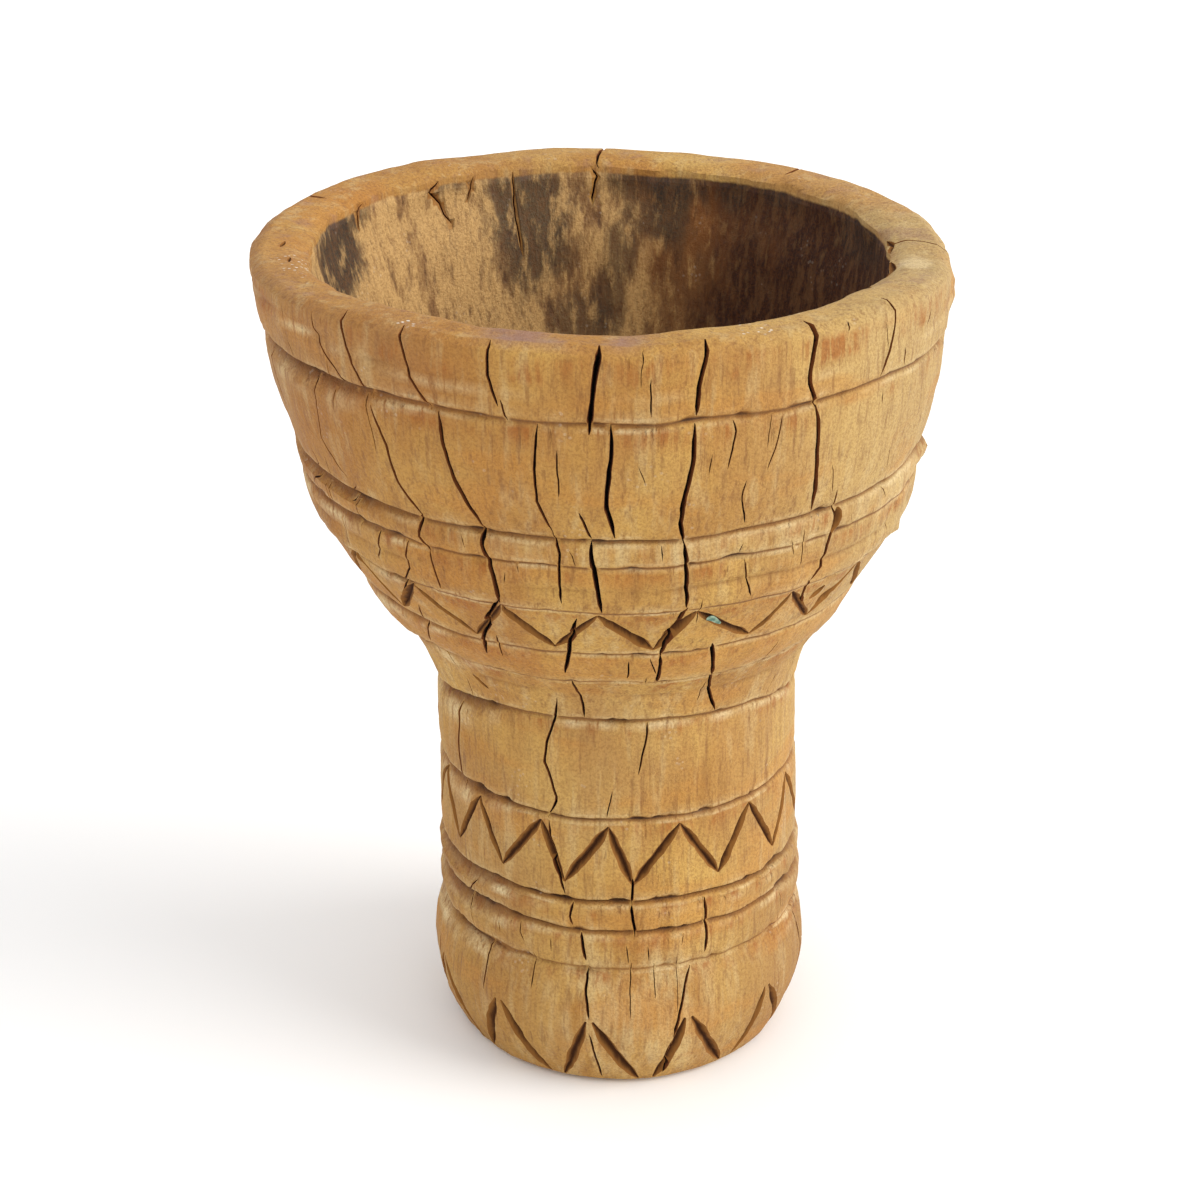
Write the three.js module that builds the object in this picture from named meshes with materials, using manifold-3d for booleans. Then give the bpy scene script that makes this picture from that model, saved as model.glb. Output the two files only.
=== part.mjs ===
// A wooden mortar: a deep bowl, a solid stem and a swollen foot carved from one log. Grooves part its
// bands, three rows of notches run round it, and drying cracks split it from rim to foot.
// Millimetres, +Z up, origin on the floor under the middle of the bowl, front towards -Y.
// Angles are degrees round the log from the front, counted towards +X.

import * as THREE from "three";
import { mergeVertices } from "three/addons/utils/BufferGeometryUtils.js";
import Module from "manifold-3d";

// ---- Driving sizes ----

// The carved bands from the floor up. Each has its own height, a radius at its lower and upper edge, a
// swell halfway up its face (crown), and the depth of the groove that is cut round its top.
const BANDS = [
  { name: "foot", height: 56.5, lower: 65, upper: 70, crown: 6.6, groove: 0.8 },
  { name: "lower ridge", height: 16.5, lower: 70.8, upper: 71.2, crown: 0.8, groove: 2 },
  { name: "upper ridge", height: 12.5, lower: 70.8, upper: 70.8, crown: 0.6, groove: 2.4 },
  { name: "stem teeth", height: 35.5, lower: 70.2, upper: 69.6, crown: 0.2, groove: 1.8 },
  { name: "stem", height: 41, lower: 69.4, upper: 68.6, crown: 0.2, groove: 2 },
  { name: "collar", height: 23, lower: 69.6, upper: 83, crown: -2.2, groove: 1.2 },
  { name: "shoulder", height: 17, lower: 84, upper: 95.2, crown: 1.4, groove: 1.8 },
  { name: "bowl teeth", height: 22.6, lower: 95.6, upper: 108.4, crown: 0.2, groove: 1.6 },
  { name: "lower bead", height: 19.4, lower: 109.6, upper: 114.2, crown: 1, groove: 1.2 },
  { name: "upper bead", height: 10.5, lower: 114.6, upper: 115.4, crown: 0.6, groove: 2.6 },
  { name: "wall", height: 43, lower: 115.8, upper: 123.2, crown: 1.8, groove: 3.2 },
  { name: "rim", height: 22.5, lower: 124, upper: 125, crown: 0.6, groove: 0 },
];
const [FOOT, LOWER_RIDGE, UPPER_RIDGE, STEM_TEETH, STEM, COLLAR, SHOULDER, BOWL_TEETH,
  LOWER_BEAD, UPPER_BEAD, WALL, RIM] = BANDS.keys();

const RIM_WIDTH = 21;        // outer face of the rim to the bowl's opening
const BOWL_WALL = 20.5;      // wood left between the bowl and the bands outside it
const BOWL_FLOOR_LEVEL = STEM + 0.7;  // the bowl's lowest point is this far up the bands
const LIP_ROUND = 6;         // worn outer edge of the rim
const MOUTH_ROUND = 3;       // worn inner edge of the rim
const BASE_ROUND = 2.5;      // worn edge that the foot stands on
const BOWL_BELLY = 0.62;     // radius of the bowl's rounded floor, as a share of the radius where it starts
const BOWL_BELLY_RISE = 0.3; // how far up that rounding the belly lies
const GROOVE_WIDTH = 4;      // at the surface
const GROOVE_BIAS = 0.9;     // grooves are cut this much deeper on the left than on average

// How far the log's middle stands to the right of the bowl's, at each band's floor and at the top.
const LEAN = [8, 8, 7.7, 7.3, 6.2, 5, 3.2, 2, 1.8, 1.7, 1.4, 0.2, 0];

// Rows of V notches. Tops are the angles of the upper notch ends that the carver set out by eye on the
// front, bottoms those of the lower ends between them. The rest of the row is spaced evenly.
const BOWL_ROW = {
  band: BOWL_TEETH, count: 19, from: 0.14, to: 0.94, width: 3.4, depth: 2.4,
  tops: [-39, -20, -2, 16, 36], bottoms: [-28, -11, 9, 30],
};
const STEM_ROW = {
  band: STEM_TEETH, count: 15, from: 0.22, to: 0.9, width: 3, depth: 2.2,
  tops: [-49, -24, -3, 19, 45], bottoms: [-39, -17, 4, 32],
};
// The foot's row is of separate chevrons: each leg runs down from the top by its own angle.
const FOOT_ROW = {
  band: FOOT, count: 12, firstTop: -9.5, from: 0.06, to: 0.6, leftReach: 9, rightReach: 16,
  width: 3.8, depth: 2.6,
};

// Drying cracks: width at the surface, depth, and points as [angle, level]. A level counts bands from
// the floor, so WALL + 0.5 is halfway up the wall band and RIM + 1 is the top of the rim.
const CRACKS = [
  { width: 1.4, depth: 14, path: [[-42, RIM + 1.1], [-40.5, RIM + 0.3], [-38.5, WALL + 0.95]] },
  { width: 1.6, depth: 9, path: [[-38.5, WALL + 0.9], [-36, WALL + 0.5], [-32, WALL + 0.03],
    [-33.3, UPPER_BEAD + 0.3], [-31.5, LOWER_BEAD + 0.1]] },
  { width: 1.9, depth: 9, path: [[-25.5, WALL + 0.98], [-24, WALL + 0.5], [-20.5, WALL + 0.02],
    [-21, UPPER_BEAD + 0.3], [-19.8, LOWER_BEAD + 0.2], [-26.5, BOWL_TEETH + 0.2], [-29, SHOULDER + 0.5]] },
  { width: 1.5, depth: 12, path: [[-16.3, RIM + 1.1], [-16.6, RIM + 0.5], [-15.2, RIM + 0.1]] },
  { width: 2.8, depth: 16, path: [[0, RIM + 1.1], [-1, RIM + 0.4], [-2.3, WALL + 0.8]] },
  { width: 2.2, depth: 16, path: [[16.3, RIM + 1.1], [14.4, RIM + 0.45], [14.2, RIM + 0.05]] },
  { width: 2, depth: 10, path: [[13.8, WALL + 0.98], [11.6, WALL + 0.4], [13.1, UPPER_BEAD + 0.7],
    [13.6, LOWER_BEAD + 0.2], [11.3, BOWL_TEETH + 0.2], [11, SHOULDER + 0.05]] },
  { width: 2.4, depth: 10, path: [[1.2, WALL + 0.99], [-0.5, WALL + 0.35], [1.7, WALL + 0.02]] },
  { width: 2.1, depth: 9, path: [[-4.2, WALL + 0.27], [-2.4, UPPER_BEAD + 0.2], [-1.2, LOWER_BEAD + 0.05]] },
  { width: 2.4, depth: 15, path: [[34.3, RIM + 1.1], [33, RIM + 0.4], [35.3, WALL + 0.6],
    [36.1, WALL + 0.02]] },
  { width: 1.8, depth: 8, path: [[41.4, WALL + 0.15], [42, UPPER_BEAD + 0.5], [40.2, LOWER_BEAD + 0.2]] },
  { width: 1.8, depth: 8, path: [[-6, BOWL_TEETH + 0.82], [-10.6, SHOULDER + 0.3], [-8.6, COLLAR + 0.45]] },
  { width: 1.9, depth: 8, path: [[21.6, BOWL_TEETH + 0.12], [24, SHOULDER + 0.2], [31.5, COLLAR + 0.02]] },
  { width: 1.5, depth: 8, path: [[-16.7, COLLAR + 0.4], [-22.6, STEM + 0.55], [-18.5, STEM + 0.2],
    [-21.7, STEM_TEETH + 0.9], [-16.6, STEM_TEETH + 0.02]] },
  { width: 1.5, depth: 7, path: [[3.9, STEM_TEETH + 0.3], [4.2, LOWER_RIDGE + 0.9]] },
  { width: 1.6, depth: 7, path: [[-12, LOWER_RIDGE + 0.98], [-10.4, FOOT + 0.8], [-9, FOOT + 0.62]] },
  { width: 1.8, depth: 9, path: [[22.2, FOOT + 0.98], [17.5, FOOT + 0.58], [14.4, FOOT - 0.05]] },
  { width: 2, depth: 13, path: [[78, RIM + 1.1], [80, RIM + 0.3], [83, WALL + 0.1]] },
  { width: 1.8, depth: 9, path: [[113, WALL + 0.9], [111, WALL + 0.05], [110, LOWER_BEAD + 0.1]] },
  { width: 2.4, depth: 15, path: [[141, RIM + 1.1], [143, RIM + 0.4], [140, WALL + 0.6]] },
  { width: 2.4, depth: 16, path: [[179, RIM + 1.1], [177, RIM + 0.2], [180, WALL + 0.3]] },
  { width: 2, depth: 9, path: [[207, WALL + 0.95], [210, WALL + 0.2], [208, LOWER_BEAD + 0.2]] },
  { width: 2.2, depth: 14, path: [[243, RIM + 1.1], [241, RIM + 0.2], [245, WALL + 0.5]] },
  { width: 1.8, depth: 9, path: [[274, WALL + 0.8], [271, WALL + 0.05], [273, LOWER_BEAD + 0.3]] },
  { width: 1.6, depth: 8, path: [[120, STEM + 0.95], [117, STEM + 0.4], [121, STEM_TEETH + 0.5]] },
  { width: 1.6, depth: 8, path: [[228, COLLAR + 0.5], [231, STEM + 0.6], [227, STEM + 0.1]] },
  { width: 1.8, depth: 8, path: [[168, LOWER_RIDGE + 0.5], [165, FOOT + 0.7], [169, FOOT + 0.2]] },
];

// The flake that is caught across one notch of the bowl's row.
const FLAKE = { length: 6.4, breadth: 2.8, thickness: 0.6, notch: 3, along: 0.27, turn: 25 };
const CLEARANCE = 0.3;       // gap between the flake and the wood under it

// How finely the faces are divided.
const SEGMENTS = 36;
const FACE_STEP = 14;
const BOWL_STEPS = 12;
const LIP_STEPS = 3;
const CUTTER_RISE = 3;       // cutters stand this far out of the surface that they cut
const TIP_SHARE = 0.12;      // a notch or crack's ends are this share of its width and depth
const CRACK_END_DEPTH = 0.5; // a crack's closed ends are this share of its depth
const NOTCH_STATIONS = [0, 0.22, 0.78, 1];  // where along its length a notch reaches and leaves full size
const CHEVRON_GAP = 0.1;     // the legs of a chevron start this share of their spread from its middle
const WELD = 1e-4;           // points closer than this are one
const SLIVER = 0.1;          // triangles thinner than this are merged into their neighbours

const WOOD = new THREE.MeshStandardMaterial({ color: 0xc09257, roughness: 0.82, metalness: 0 });
const FLAKE_GREEN = new THREE.MeshStandardMaterial({ color: 0xb4c4a6, roughness: 0.6, metalness: 0 });

// ---- The log's surface ----

const TOP = BANDS.reduce((sum, band) => sum + band.height, 0);
const bandFloors = BANDS.map((_, index) => BANDS.slice(0, index).reduce((sum, band) => sum + band.height, 0));

function splitLevel(level) {
  const index = THREE.MathUtils.clamp(Math.floor(level), FOOT, RIM);
  return { band: BANDS[index], floor: bandFloors[index], share: level - index };
}

function heightAt(level) {
  const { band, floor, share } = splitLevel(level);
  return floor + share * band.height;
}

function radiusAt(level) {
  const { band, share } = splitLevel(level);
  const up = THREE.MathUtils.clamp(share, 0, 1);
  return THREE.MathUtils.lerp(band.lower, band.upper, up) + band.crown * 4 * up * (1 - up);
}

// The stem and foot stand to one side of the bowl; the bands between lean across.
function offsetAt(height) {
  let index = RIM;
  while (index > FOOT && bandFloors[index] > height) index--;
  const share = THREE.MathUtils.clamp((height - bandFloors[index]) / BANDS[index].height, 0, 1);
  return THREE.MathUtils.lerp(LEAN[index], LEAN[index + 1], share);
}

function surfacePoint(angle, level) {
  const turn = THREE.MathUtils.degToRad(angle);
  const height = heightAt(level);
  const radius = radiusAt(level);
  return new THREE.Vector3(
    offsetAt(height) + radius * Math.sin(turn), -radius * Math.cos(turn), height);
}

// Outward from the surface, square to the band's slope.
function surfaceNormal(angle, level) {
  const { band } = splitLevel(level);
  const turn = THREE.MathUtils.degToRad(angle);
  const slope = (band.upper - band.lower) / band.height;
  return new THREE.Vector3(Math.sin(turn), -Math.cos(turn), -slope).normalize();
}

// ---- Solids ----

const wasm = await Module();
wasm.setup();

function toSolid(geometry) {
  const bare = geometry.clone();
  bare.deleteAttribute("normal");
  bare.deleteAttribute("uv");
  const merged = mergeVertices(bare, WELD);
  const index = merged.index.array;
  const triangles = [];
  for (let i = 0; i < index.length; i += 3) {
    const [a, b, c] = [index[i], index[i + 1], index[i + 2]];
    const flat = a === b || b === c || c === a;
    if (!flat) triangles.push(a, b, c);
  }
  const vertProperties = new Float32Array(merged.attributes.position.array);
  const triVerts = new Uint32Array(triangles);
  return new wasm.Manifold(new wasm.Mesh({ numProp: 3, vertProperties, triVerts }));
}

function toGeometry(solid) {
  const mesh = solid.getMesh();
  const geometry = new THREE.BufferGeometry();
  geometry.setAttribute("position", new THREE.BufferAttribute(mesh.vertProperties, 3));
  geometry.setIndex(new THREE.BufferAttribute(mesh.triVerts, 1));
  return geometry;
}

// A trough with a triangular section that follows stations of { angle, level, width, depth } over the
// surface. It stands out of the surface by CUTTER_RISE, so that it cuts an open V.
function troughCutter(stations) {
  const points = stations.map((s) => surfacePoint(s.angle, s.level));
  const corners = [];
  stations.forEach((station, i) => {
    const ahead = points[Math.min(i + 1, points.length - 1)];
    const behind = points[Math.max(i - 1, 0)];
    const normal = surfaceNormal(station.angle, station.level);
    const side = ahead.clone().sub(behind).cross(normal).normalize();
    const halfWidth = station.width / 2 * (station.depth + CUTTER_RISE) / station.depth;
    const outer = points[i].clone().addScaledVector(normal, CUTTER_RISE);
    corners.push(
      outer.clone().addScaledVector(side, -halfWidth),
      outer.clone().addScaledVector(side, halfWidth),
      points[i].clone().addScaledVector(normal, -station.depth));
  });
  const index = [2, 1, 0];
  for (let row = 0; row + 3 < corners.length; row += 3) {
    for (let k = 0; k < 3; k++) {
      const next = (k + 1) % 3;
      index.push(row + k, row + next, row + 3 + next);
      index.push(row + k, row + 3 + next, row + 3 + k);
    }
  }
  const last = corners.length - 3;
  index.push(last, last + 1, last + 2);
  const geometry = new THREE.BufferGeometry().setFromPoints(corners);
  geometry.setIndex(index);
  return toSolid(geometry);
}

// ---- Outline ----

// Outline points as { radius, height, bias }, up the outside, over the rim and down into the bowl.
function bandOutline(index) {
  const band = BANDS[index];
  const inset = GROOVE_WIDTH / 2 / band.height;
  const from = index === FOOT ? BASE_ROUND / band.height : inset;
  const to = index === RIM ? 1 - LIP_ROUND / band.height : 1 - inset;
  const steps = Math.max(1, Math.round(band.height / FACE_STEP));
  const points = [];
  for (let step = 0; step <= steps; step++) {
    const level = index + THREE.MathUtils.lerp(from, to, step / steps);
    points.push({ radius: radiusAt(level), height: heightAt(level), bias: 0 });
  }
  if (index < RIM) {
    const edge = Math.min(band.upper, BANDS[index + 1].lower);
    points.push({ radius: edge - band.groove, height: bandFloors[index + 1], bias: GROOVE_BIAS });
  }
  return points;
}

function lipOutline() {
  const points = [];
  const lipRadius = BANDS[RIM].upper;
  for (let step = 1; step <= LIP_STEPS; step++) {
    const turn = Math.PI / 2 * step / LIP_STEPS;
    points.push({
      radius: lipRadius - LIP_ROUND * (1 - Math.cos(turn)),
      height: TOP - LIP_ROUND * (1 - Math.sin(turn)),
      bias: 0,
    });
  }
  points.push({ radius: lipRadius - RIM_WIDTH + MOUTH_ROUND, height: TOP, bias: 0 });
  return points;
}

// The bowl follows the bands outside it at the wall's thickness and rounds in to its floor.
function bowlOutline() {
  const floor = heightAt(BOWL_FLOOR_LEVEL);
  const knee = radiusAt(SHOULDER) - BOWL_WALL;
  const curve = new THREE.SplineCurve([
    new THREE.Vector2(BANDS[RIM].upper - RIM_WIDTH, TOP - MOUTH_ROUND),
    new THREE.Vector2(BANDS[WALL].upper - BOWL_WALL, heightAt(RIM)),
    new THREE.Vector2(radiusAt(WALL) - BOWL_WALL, heightAt(WALL)),
    new THREE.Vector2(radiusAt(BOWL_TEETH) - BOWL_WALL, heightAt(BOWL_TEETH)),
    new THREE.Vector2(knee, heightAt(SHOULDER)),
    new THREE.Vector2(knee * BOWL_BELLY, THREE.MathUtils.lerp(floor, heightAt(SHOULDER), BOWL_BELLY_RISE)),
    new THREE.Vector2(0, floor),
  ]);
  return curve.getPoints(BOWL_STEPS).map((p) => ({ radius: p.x, height: p.y, bias: 0 }));
}

function mortarSolid() {
  const outline = [
    { radius: 0, height: 0, bias: 0 },
    { radius: BANDS[FOOT].lower - BASE_ROUND, height: 0, bias: 0 },
    ...BANDS.flatMap((_, index) => bandOutline(index)),
    ...lipOutline(),
    ...bowlOutline(),
  ];
  const profile = outline.map((p) => new THREE.Vector2(p.radius, p.height));
  const geometry = new THREE.LatheGeometry(profile, SEGMENTS).rotateX(Math.PI / 2);
  const position = geometry.attributes.position;
  for (let i = 0; i < position.count; i++) {
    const { height, bias } = outline[i % outline.length];
    position.setX(i, position.getX(i) + offsetAt(height) + bias);
  }
  return toSolid(geometry);
}

// ---- Notches and cracks ----

// A straight V notch that tapers at both ends.
function notchCutter(row, start, end) {
  return troughCutter(NOTCH_STATIONS.map((share) => {
    const size = share === 0 || share === 1 ? TIP_SHARE : 1;
    return {
      angle: THREE.MathUtils.lerp(start.angle, end.angle, share),
      level: THREE.MathUtils.lerp(start.level, end.level, share),
      width: row.width * size,
      depth: row.depth * size,
    };
  }));
}

// The row's notch ends in turn, top and bottom, all the way round.
function zigzagEnds(row) {
  const angles = [];
  row.tops.forEach((top, i) => {
    angles.push(top);
    if (i < row.bottoms.length) angles.push(row.bottoms[i]);
  });
  const firstFree = angles.at(-1);
  const freeSteps = 2 * row.count - angles.length + 1;
  const stride = (360 + angles[0] - firstFree) / freeSteps;
  for (let step = 1; step < freeSteps; step++) angles.push(firstFree + stride * step);
  return angles.map((angle, i) => ({ angle, level: row.band + (i % 2 === 0 ? row.to : row.from) }));
}

function zigzagCutters(row) {
  const ends = zigzagEnds(row);
  return ends.map((end, i) => {
    const next = ends[(i + 1) % ends.length];
    const wrap = i + 1 === ends.length ? 360 : 0;
    return notchCutter(row, end, { angle: next.angle + wrap, level: next.level });
  });
}

function chevronCutters(row) {
  const cutters = [];
  for (let i = 0; i < row.count; i++) {
    const angle = row.firstTop + 360 * i / row.count;
    for (const reach of [-row.leftReach, row.rightReach]) {
      const start = { angle: angle + reach * CHEVRON_GAP, level: row.band + row.to };
      cutters.push(notchCutter(row, start, { angle: angle + reach, level: row.band + row.from }));
    }
  }
  return cutters;
}

function crackCutter(crack) {
  const last = crack.path.length - 1;
  return troughCutter(crack.path.map(([angle, level], i) => {
    const open = level >= RIM + 1 || level <= FOOT;
    const size = (i === 0 || i === last) && !open ? TIP_SHARE : 1;
    return { angle, level, width: crack.width * size, depth: crack.depth * Math.max(size, CRACK_END_DEPTH) };
  }));
}

function mortarBody() {
  const cutters = [
    ...zigzagCutters(BOWL_ROW),
    ...zigzagCutters(STEM_ROW),
    ...chevronCutters(FOOT_ROW),
    ...CRACKS.map(crackCutter),
  ];
  let solid = mortarSolid();
  for (const cutter of cutters) solid = solid.subtract(cutter);
  solid = solid.asOriginal().simplify(SLIVER);
  const mesh = new THREE.Mesh(toGeometry(solid), WOOD);
  mesh.name = "mortar_body";
  return mesh;
}

// ---- The flake ----

function grooveFlake() {
  const half = FLAKE.length / 2;
  const rise = FLAKE.breadth / 2;
  const outline = new THREE.Shape([
    new THREE.Vector2(-half, -0.2 * rise),
    new THREE.Vector2(-0.4 * half, -rise),
    new THREE.Vector2(0.7 * half, -0.7 * rise),
    new THREE.Vector2(half, 0.3 * rise),
    new THREE.Vector2(0.3 * half, rise),
    new THREE.Vector2(-0.6 * half, 0.6 * rise),
  ]);
  const geometry = new THREE.ExtrudeGeometry(outline, { depth: FLAKE.thickness, bevelEnabled: false });
  const ends = zigzagEnds(BOWL_ROW);
  const top = ends[2 * FLAKE.notch];
  const bottom = ends[2 * FLAKE.notch + 1];
  const angle = THREE.MathUtils.lerp(top.angle, bottom.angle, FLAKE.along);
  const level = THREE.MathUtils.lerp(top.level, bottom.level, FLAKE.along);
  const normal = surfaceNormal(angle, level);
  const across = new THREE.Vector3(-normal.y, normal.x, 0).normalize();
  const up = normal.clone().cross(across);
  const mesh = new THREE.Mesh(geometry, FLAKE_GREEN);
  mesh.name = "groove_flake";
  mesh.quaternion.setFromRotationMatrix(new THREE.Matrix4().makeBasis(across, up, normal));
  mesh.rotateZ(THREE.MathUtils.degToRad(FLAKE.turn));
  mesh.position.copy(surfacePoint(angle, level)).addScaledVector(normal, CLEARANCE);
  return mesh;
}

const mortar = new THREE.Group();
mortar.add(mortarBody(), grooveFlake());
export default mortar;
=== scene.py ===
"""A wooden mortar carved from one log: grooved bands, knife-cut notches, drying cracks and a stained bowl.

Outlines and cuts are in millimetres until a mesh is made; meshes and trees are in metres, +Z up, front
towards -Y. Angles are degrees round the log from the front, counted towards +X. A level counts the carved
bands from the floor: WALL + 0.5 is halfway up the wall band, RIM + 1 is the rim's outer crest, RIM + 2 the
mouth's edge and RIM + 3 the bowl's floor.
"""

import math
import random
from types import SimpleNamespace

import bmesh
import bpy
from bpy.props import FloatProperty, FloatVectorProperty, IntProperty, PointerProperty
from bpy.types import Operator, Panel, PropertyGroup
from mathutils import Matrix, Vector


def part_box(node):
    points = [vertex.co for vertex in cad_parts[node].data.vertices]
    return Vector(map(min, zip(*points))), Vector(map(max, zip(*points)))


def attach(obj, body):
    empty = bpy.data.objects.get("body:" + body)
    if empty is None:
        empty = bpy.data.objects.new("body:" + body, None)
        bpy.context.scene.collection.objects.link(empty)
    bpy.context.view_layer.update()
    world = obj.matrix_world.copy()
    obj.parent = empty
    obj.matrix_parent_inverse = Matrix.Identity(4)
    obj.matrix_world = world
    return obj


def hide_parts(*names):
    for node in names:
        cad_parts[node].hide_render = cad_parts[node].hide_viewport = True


bl_info = {
    "name": "Carved Wooden Mortar",
    "version": (1, 0, 0),
    "blender": (4, 5, 0),
    "location": "3D View > Sidebar > Mortar",
    "description": "Builds a weathered wooden mortar with carved bands, notches and drying cracks",
    "category": "Mesh",
}

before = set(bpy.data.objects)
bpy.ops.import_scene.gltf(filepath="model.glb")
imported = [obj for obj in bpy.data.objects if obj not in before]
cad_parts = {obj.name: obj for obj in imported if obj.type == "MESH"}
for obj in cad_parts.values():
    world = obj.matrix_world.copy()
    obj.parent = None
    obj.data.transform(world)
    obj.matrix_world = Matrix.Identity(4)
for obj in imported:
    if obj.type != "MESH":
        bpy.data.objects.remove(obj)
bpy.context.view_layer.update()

MM = 0.001

# ---- The log's outline ----

# Bands from the floor up: height, radius at the lower and upper edge, swell halfway up, and the depth and
# reach of the groove cut round its top.
BANDS = (
    dict(height=56.5, lower=65.0, upper=70.0, crown=6.6, groove=0.8, reach=1.0),
    dict(height=16.5, lower=70.8, upper=71.2, crown=0.8, groove=2.0, reach=1.6),
    dict(height=12.5, lower=70.8, upper=70.8, crown=0.6, groove=2.4, reach=1.3),
    dict(height=35.5, lower=70.2, upper=69.6, crown=0.2, groove=1.8, reach=1.0),
    dict(height=41.0, lower=69.4, upper=68.6, crown=0.2, groove=2.0, reach=1.55),
    dict(height=23.0, lower=69.6, upper=83.0, crown=-2.2, groove=1.2, reach=1.0),
    dict(height=17.0, lower=84.0, upper=95.2, crown=1.4, groove=1.6, reach=0.8),
    dict(height=22.6, lower=95.6, upper=108.4, crown=0.2, groove=1.4, reach=0.6),
    dict(height=19.4, lower=109.6, upper=114.2, crown=1.0, groove=1.2, reach=0.8),
    dict(height=10.5, lower=114.6, upper=115.4, crown=0.6, groove=2.2, reach=1.3),
    dict(height=43.0, lower=115.8, upper=123.2, crown=1.8, groove=2.6, reach=1.2),
    dict(height=22.5, lower=124.0, upper=125.0, crown=0.6, groove=0.0, reach=0.0),
)
(FOOT, LOWER_RIDGE, UPPER_RIDGE, STEM_TEETH, STEM, COLLAR, SHOULDER, BOWL_TEETH,
 LOWER_BEAD, UPPER_BEAD, WALL, RIM) = range(len(BANDS))

FLOORS = [sum(band["height"] for band in BANDS[:i]) for i in range(len(BANDS) + 1)]
TOP = FLOORS[-1]

RIM_WIDTH = 21.0
BOWL_WALL = 20.5
BOWL_FLOOR_LEVEL = STEM + 0.7
LIP_ROUND = 4.0
MOUTH_ROUND = 3.0
BASE_ROUND = 2.5

ROW_STEP = 2.5         # between rows of the outer faces
SEAM_ROWS = (-3.0, -1.8, -0.9, 0.0, 0.5, 1.0, 1.8)   # extra rows close to each groove line
BOWL_ROWS = 34
BASE_ROWS = 4
LIP_ROWS = 10
FAR = 99.0             # no ring line near
CREASE_REACH = MM / 0.9   # half the width of a faint ring

# Faint extra rings, as levels.
CREASES = (RIM + 0.42, UPPER_RIDGE + 0.72, FOOT + 0.97, FOOT + 0.9, COLLAR + 0.55, LOWER_BEAD + 0.5)

# How far the log's middle stands to the right of the bowl's, at each ring from the floor up.
SHIFTS = (8.0, 8.0, 7.7, 7.3, 6.2, 5.0, 3.2, 2.0, 1.8, 1.7, 0.9, -0.8, -2.6)

# Values stored on each row of the outline: their unit, and the usual value where a row has none.
ROW_VALUES = dict(seam=(MM, FAR), crease=(MM, FAR), groove=(MM, 0.0), tilt=(MM, 0.0), shift=(MM, SHIFTS[0]),
                  fringe=(1.0, 0.0), reach=(1.0, 1.0), lip=(1.0, 0.0), inside=(1.0, 0.0), mouth=(1.0, 0.0))

# Bumps and hollows left by the blade: angle, height, how far they reach, and how far they stand out.
BUMPS = (
    (86, 306, 11, 2.4), (78, 295.5, 6, -2), (81, 250, 9, 2.6), (70, 226, 5, 1.6),
    (-92, 309, 20, 1.2), (48, 213, 7, -1.6), (62, 238, 9, -1), (-58, 236, 10, -0.9),
    (22, 240, 12, -0.7), (-20, 172, 14, -0.9), (40, 150, 18, -0.8), (120, 300, 12, -1.5),
    (150, 262, 10, -1.2), (-140, 210, 12, -1.2), (172, 140, 16, -1), (-100, 40, 16, -1.2),
)

# How much higher the rim stands in front than behind, and the heights over which the rise grows.
FRONT_RISE = 4.2
RISE_START, RISE_END = 285.0, 318.0

# How far each ring sinks towards the sides, from the floor up.
TILTS = (0.0, -1.0, -1.5, -2.5, -1.5, -8.0, -2.0, 0.0, 0.0, 0.0, 1.0, 0.0, 0.0)


def blend(a, b, t):
    return a + (b - a) * t


def ease(value, low, high):
    t = min(max((value - low) / (high - low), 0.0), 1.0)
    return t * t * (3 - 2 * t)


def band_radius(level):
    index = min(max(int(level), FOOT), RIM)
    up = min(max(level - index, 0.0), 1.0)
    band = BANDS[index]
    return blend(band["lower"], band["upper"], up) + band["crown"] * 4 * up * (1 - up)


def band_height(level):
    index = min(max(int(level), FOOT), RIM)
    return FLOORS[index] + (level - index) * BANDS[index]["height"]


def catmull(points, t):
    """A point on the smooth curve through points, t from 0 to 1."""
    spot = t * (len(points) - 1)
    i = min(int(spot), len(points) - 2)
    f = spot - i
    p = [points[min(max(i + k, 0), len(points) - 1)] for k in (-1, 0, 1, 2)]
    return tuple(
        0.5 * (2 * b + (c - a) * f + (2 * a - 5 * b + 4 * c - d) * f * f + (3 * b - a - 3 * c + d) * f ** 3)
        for a, b, c, d in zip(*p))


BOWL_FLOOR = band_height(BOWL_FLOOR_LEVEL)
BOWL_KNEE = band_radius(SHOULDER) - BOWL_WALL
BOWL_CURVE = (
    (BANDS[RIM]["upper"] - RIM_WIDTH, TOP - MOUTH_ROUND),
    (BANDS[WALL]["upper"] - BOWL_WALL, band_height(RIM)),
    (band_radius(WALL) - BOWL_WALL, band_height(WALL)),
    (band_radius(BOWL_TEETH) - BOWL_WALL, band_height(BOWL_TEETH)),
    (BOWL_KNEE, band_height(SHOULDER)),
    (BOWL_KNEE * 0.62, blend(BOWL_FLOOR, band_height(SHOULDER), 0.3)),
    (0.0, BOWL_FLOOR),
)


def outline(level):
    """Radius and height of the log's outline at a level, from the foot over the lip and down the bowl."""
    if level <= RIM + 1:
        radius, height = band_radius(level), band_height(level)
        over = max(height - (TOP - LIP_ROUND), 0.0) / LIP_ROUND
        return radius - LIP_ROUND * (1 - math.sqrt(max(1 - over * over, 0.0))), height
    if level <= RIM + 2:
        across = level - RIM - 1
        radius = blend(BANDS[RIM]["upper"] - LIP_ROUND, BOWL_CURVE[0][0], across)
        return radius, TOP - MOUTH_ROUND * max(across * 2 - 1, 0.0) ** 2
    return catmull(BOWL_CURVE, min(level - RIM - 2, 1.0))


def ring_tilt(level):
    """How far the ring at a level sinks towards the sides."""
    if level >= RIM:
        return 0.0
    return blend(TILTS[int(level)], TILTS[int(level) + 1], level - int(level))


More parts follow.
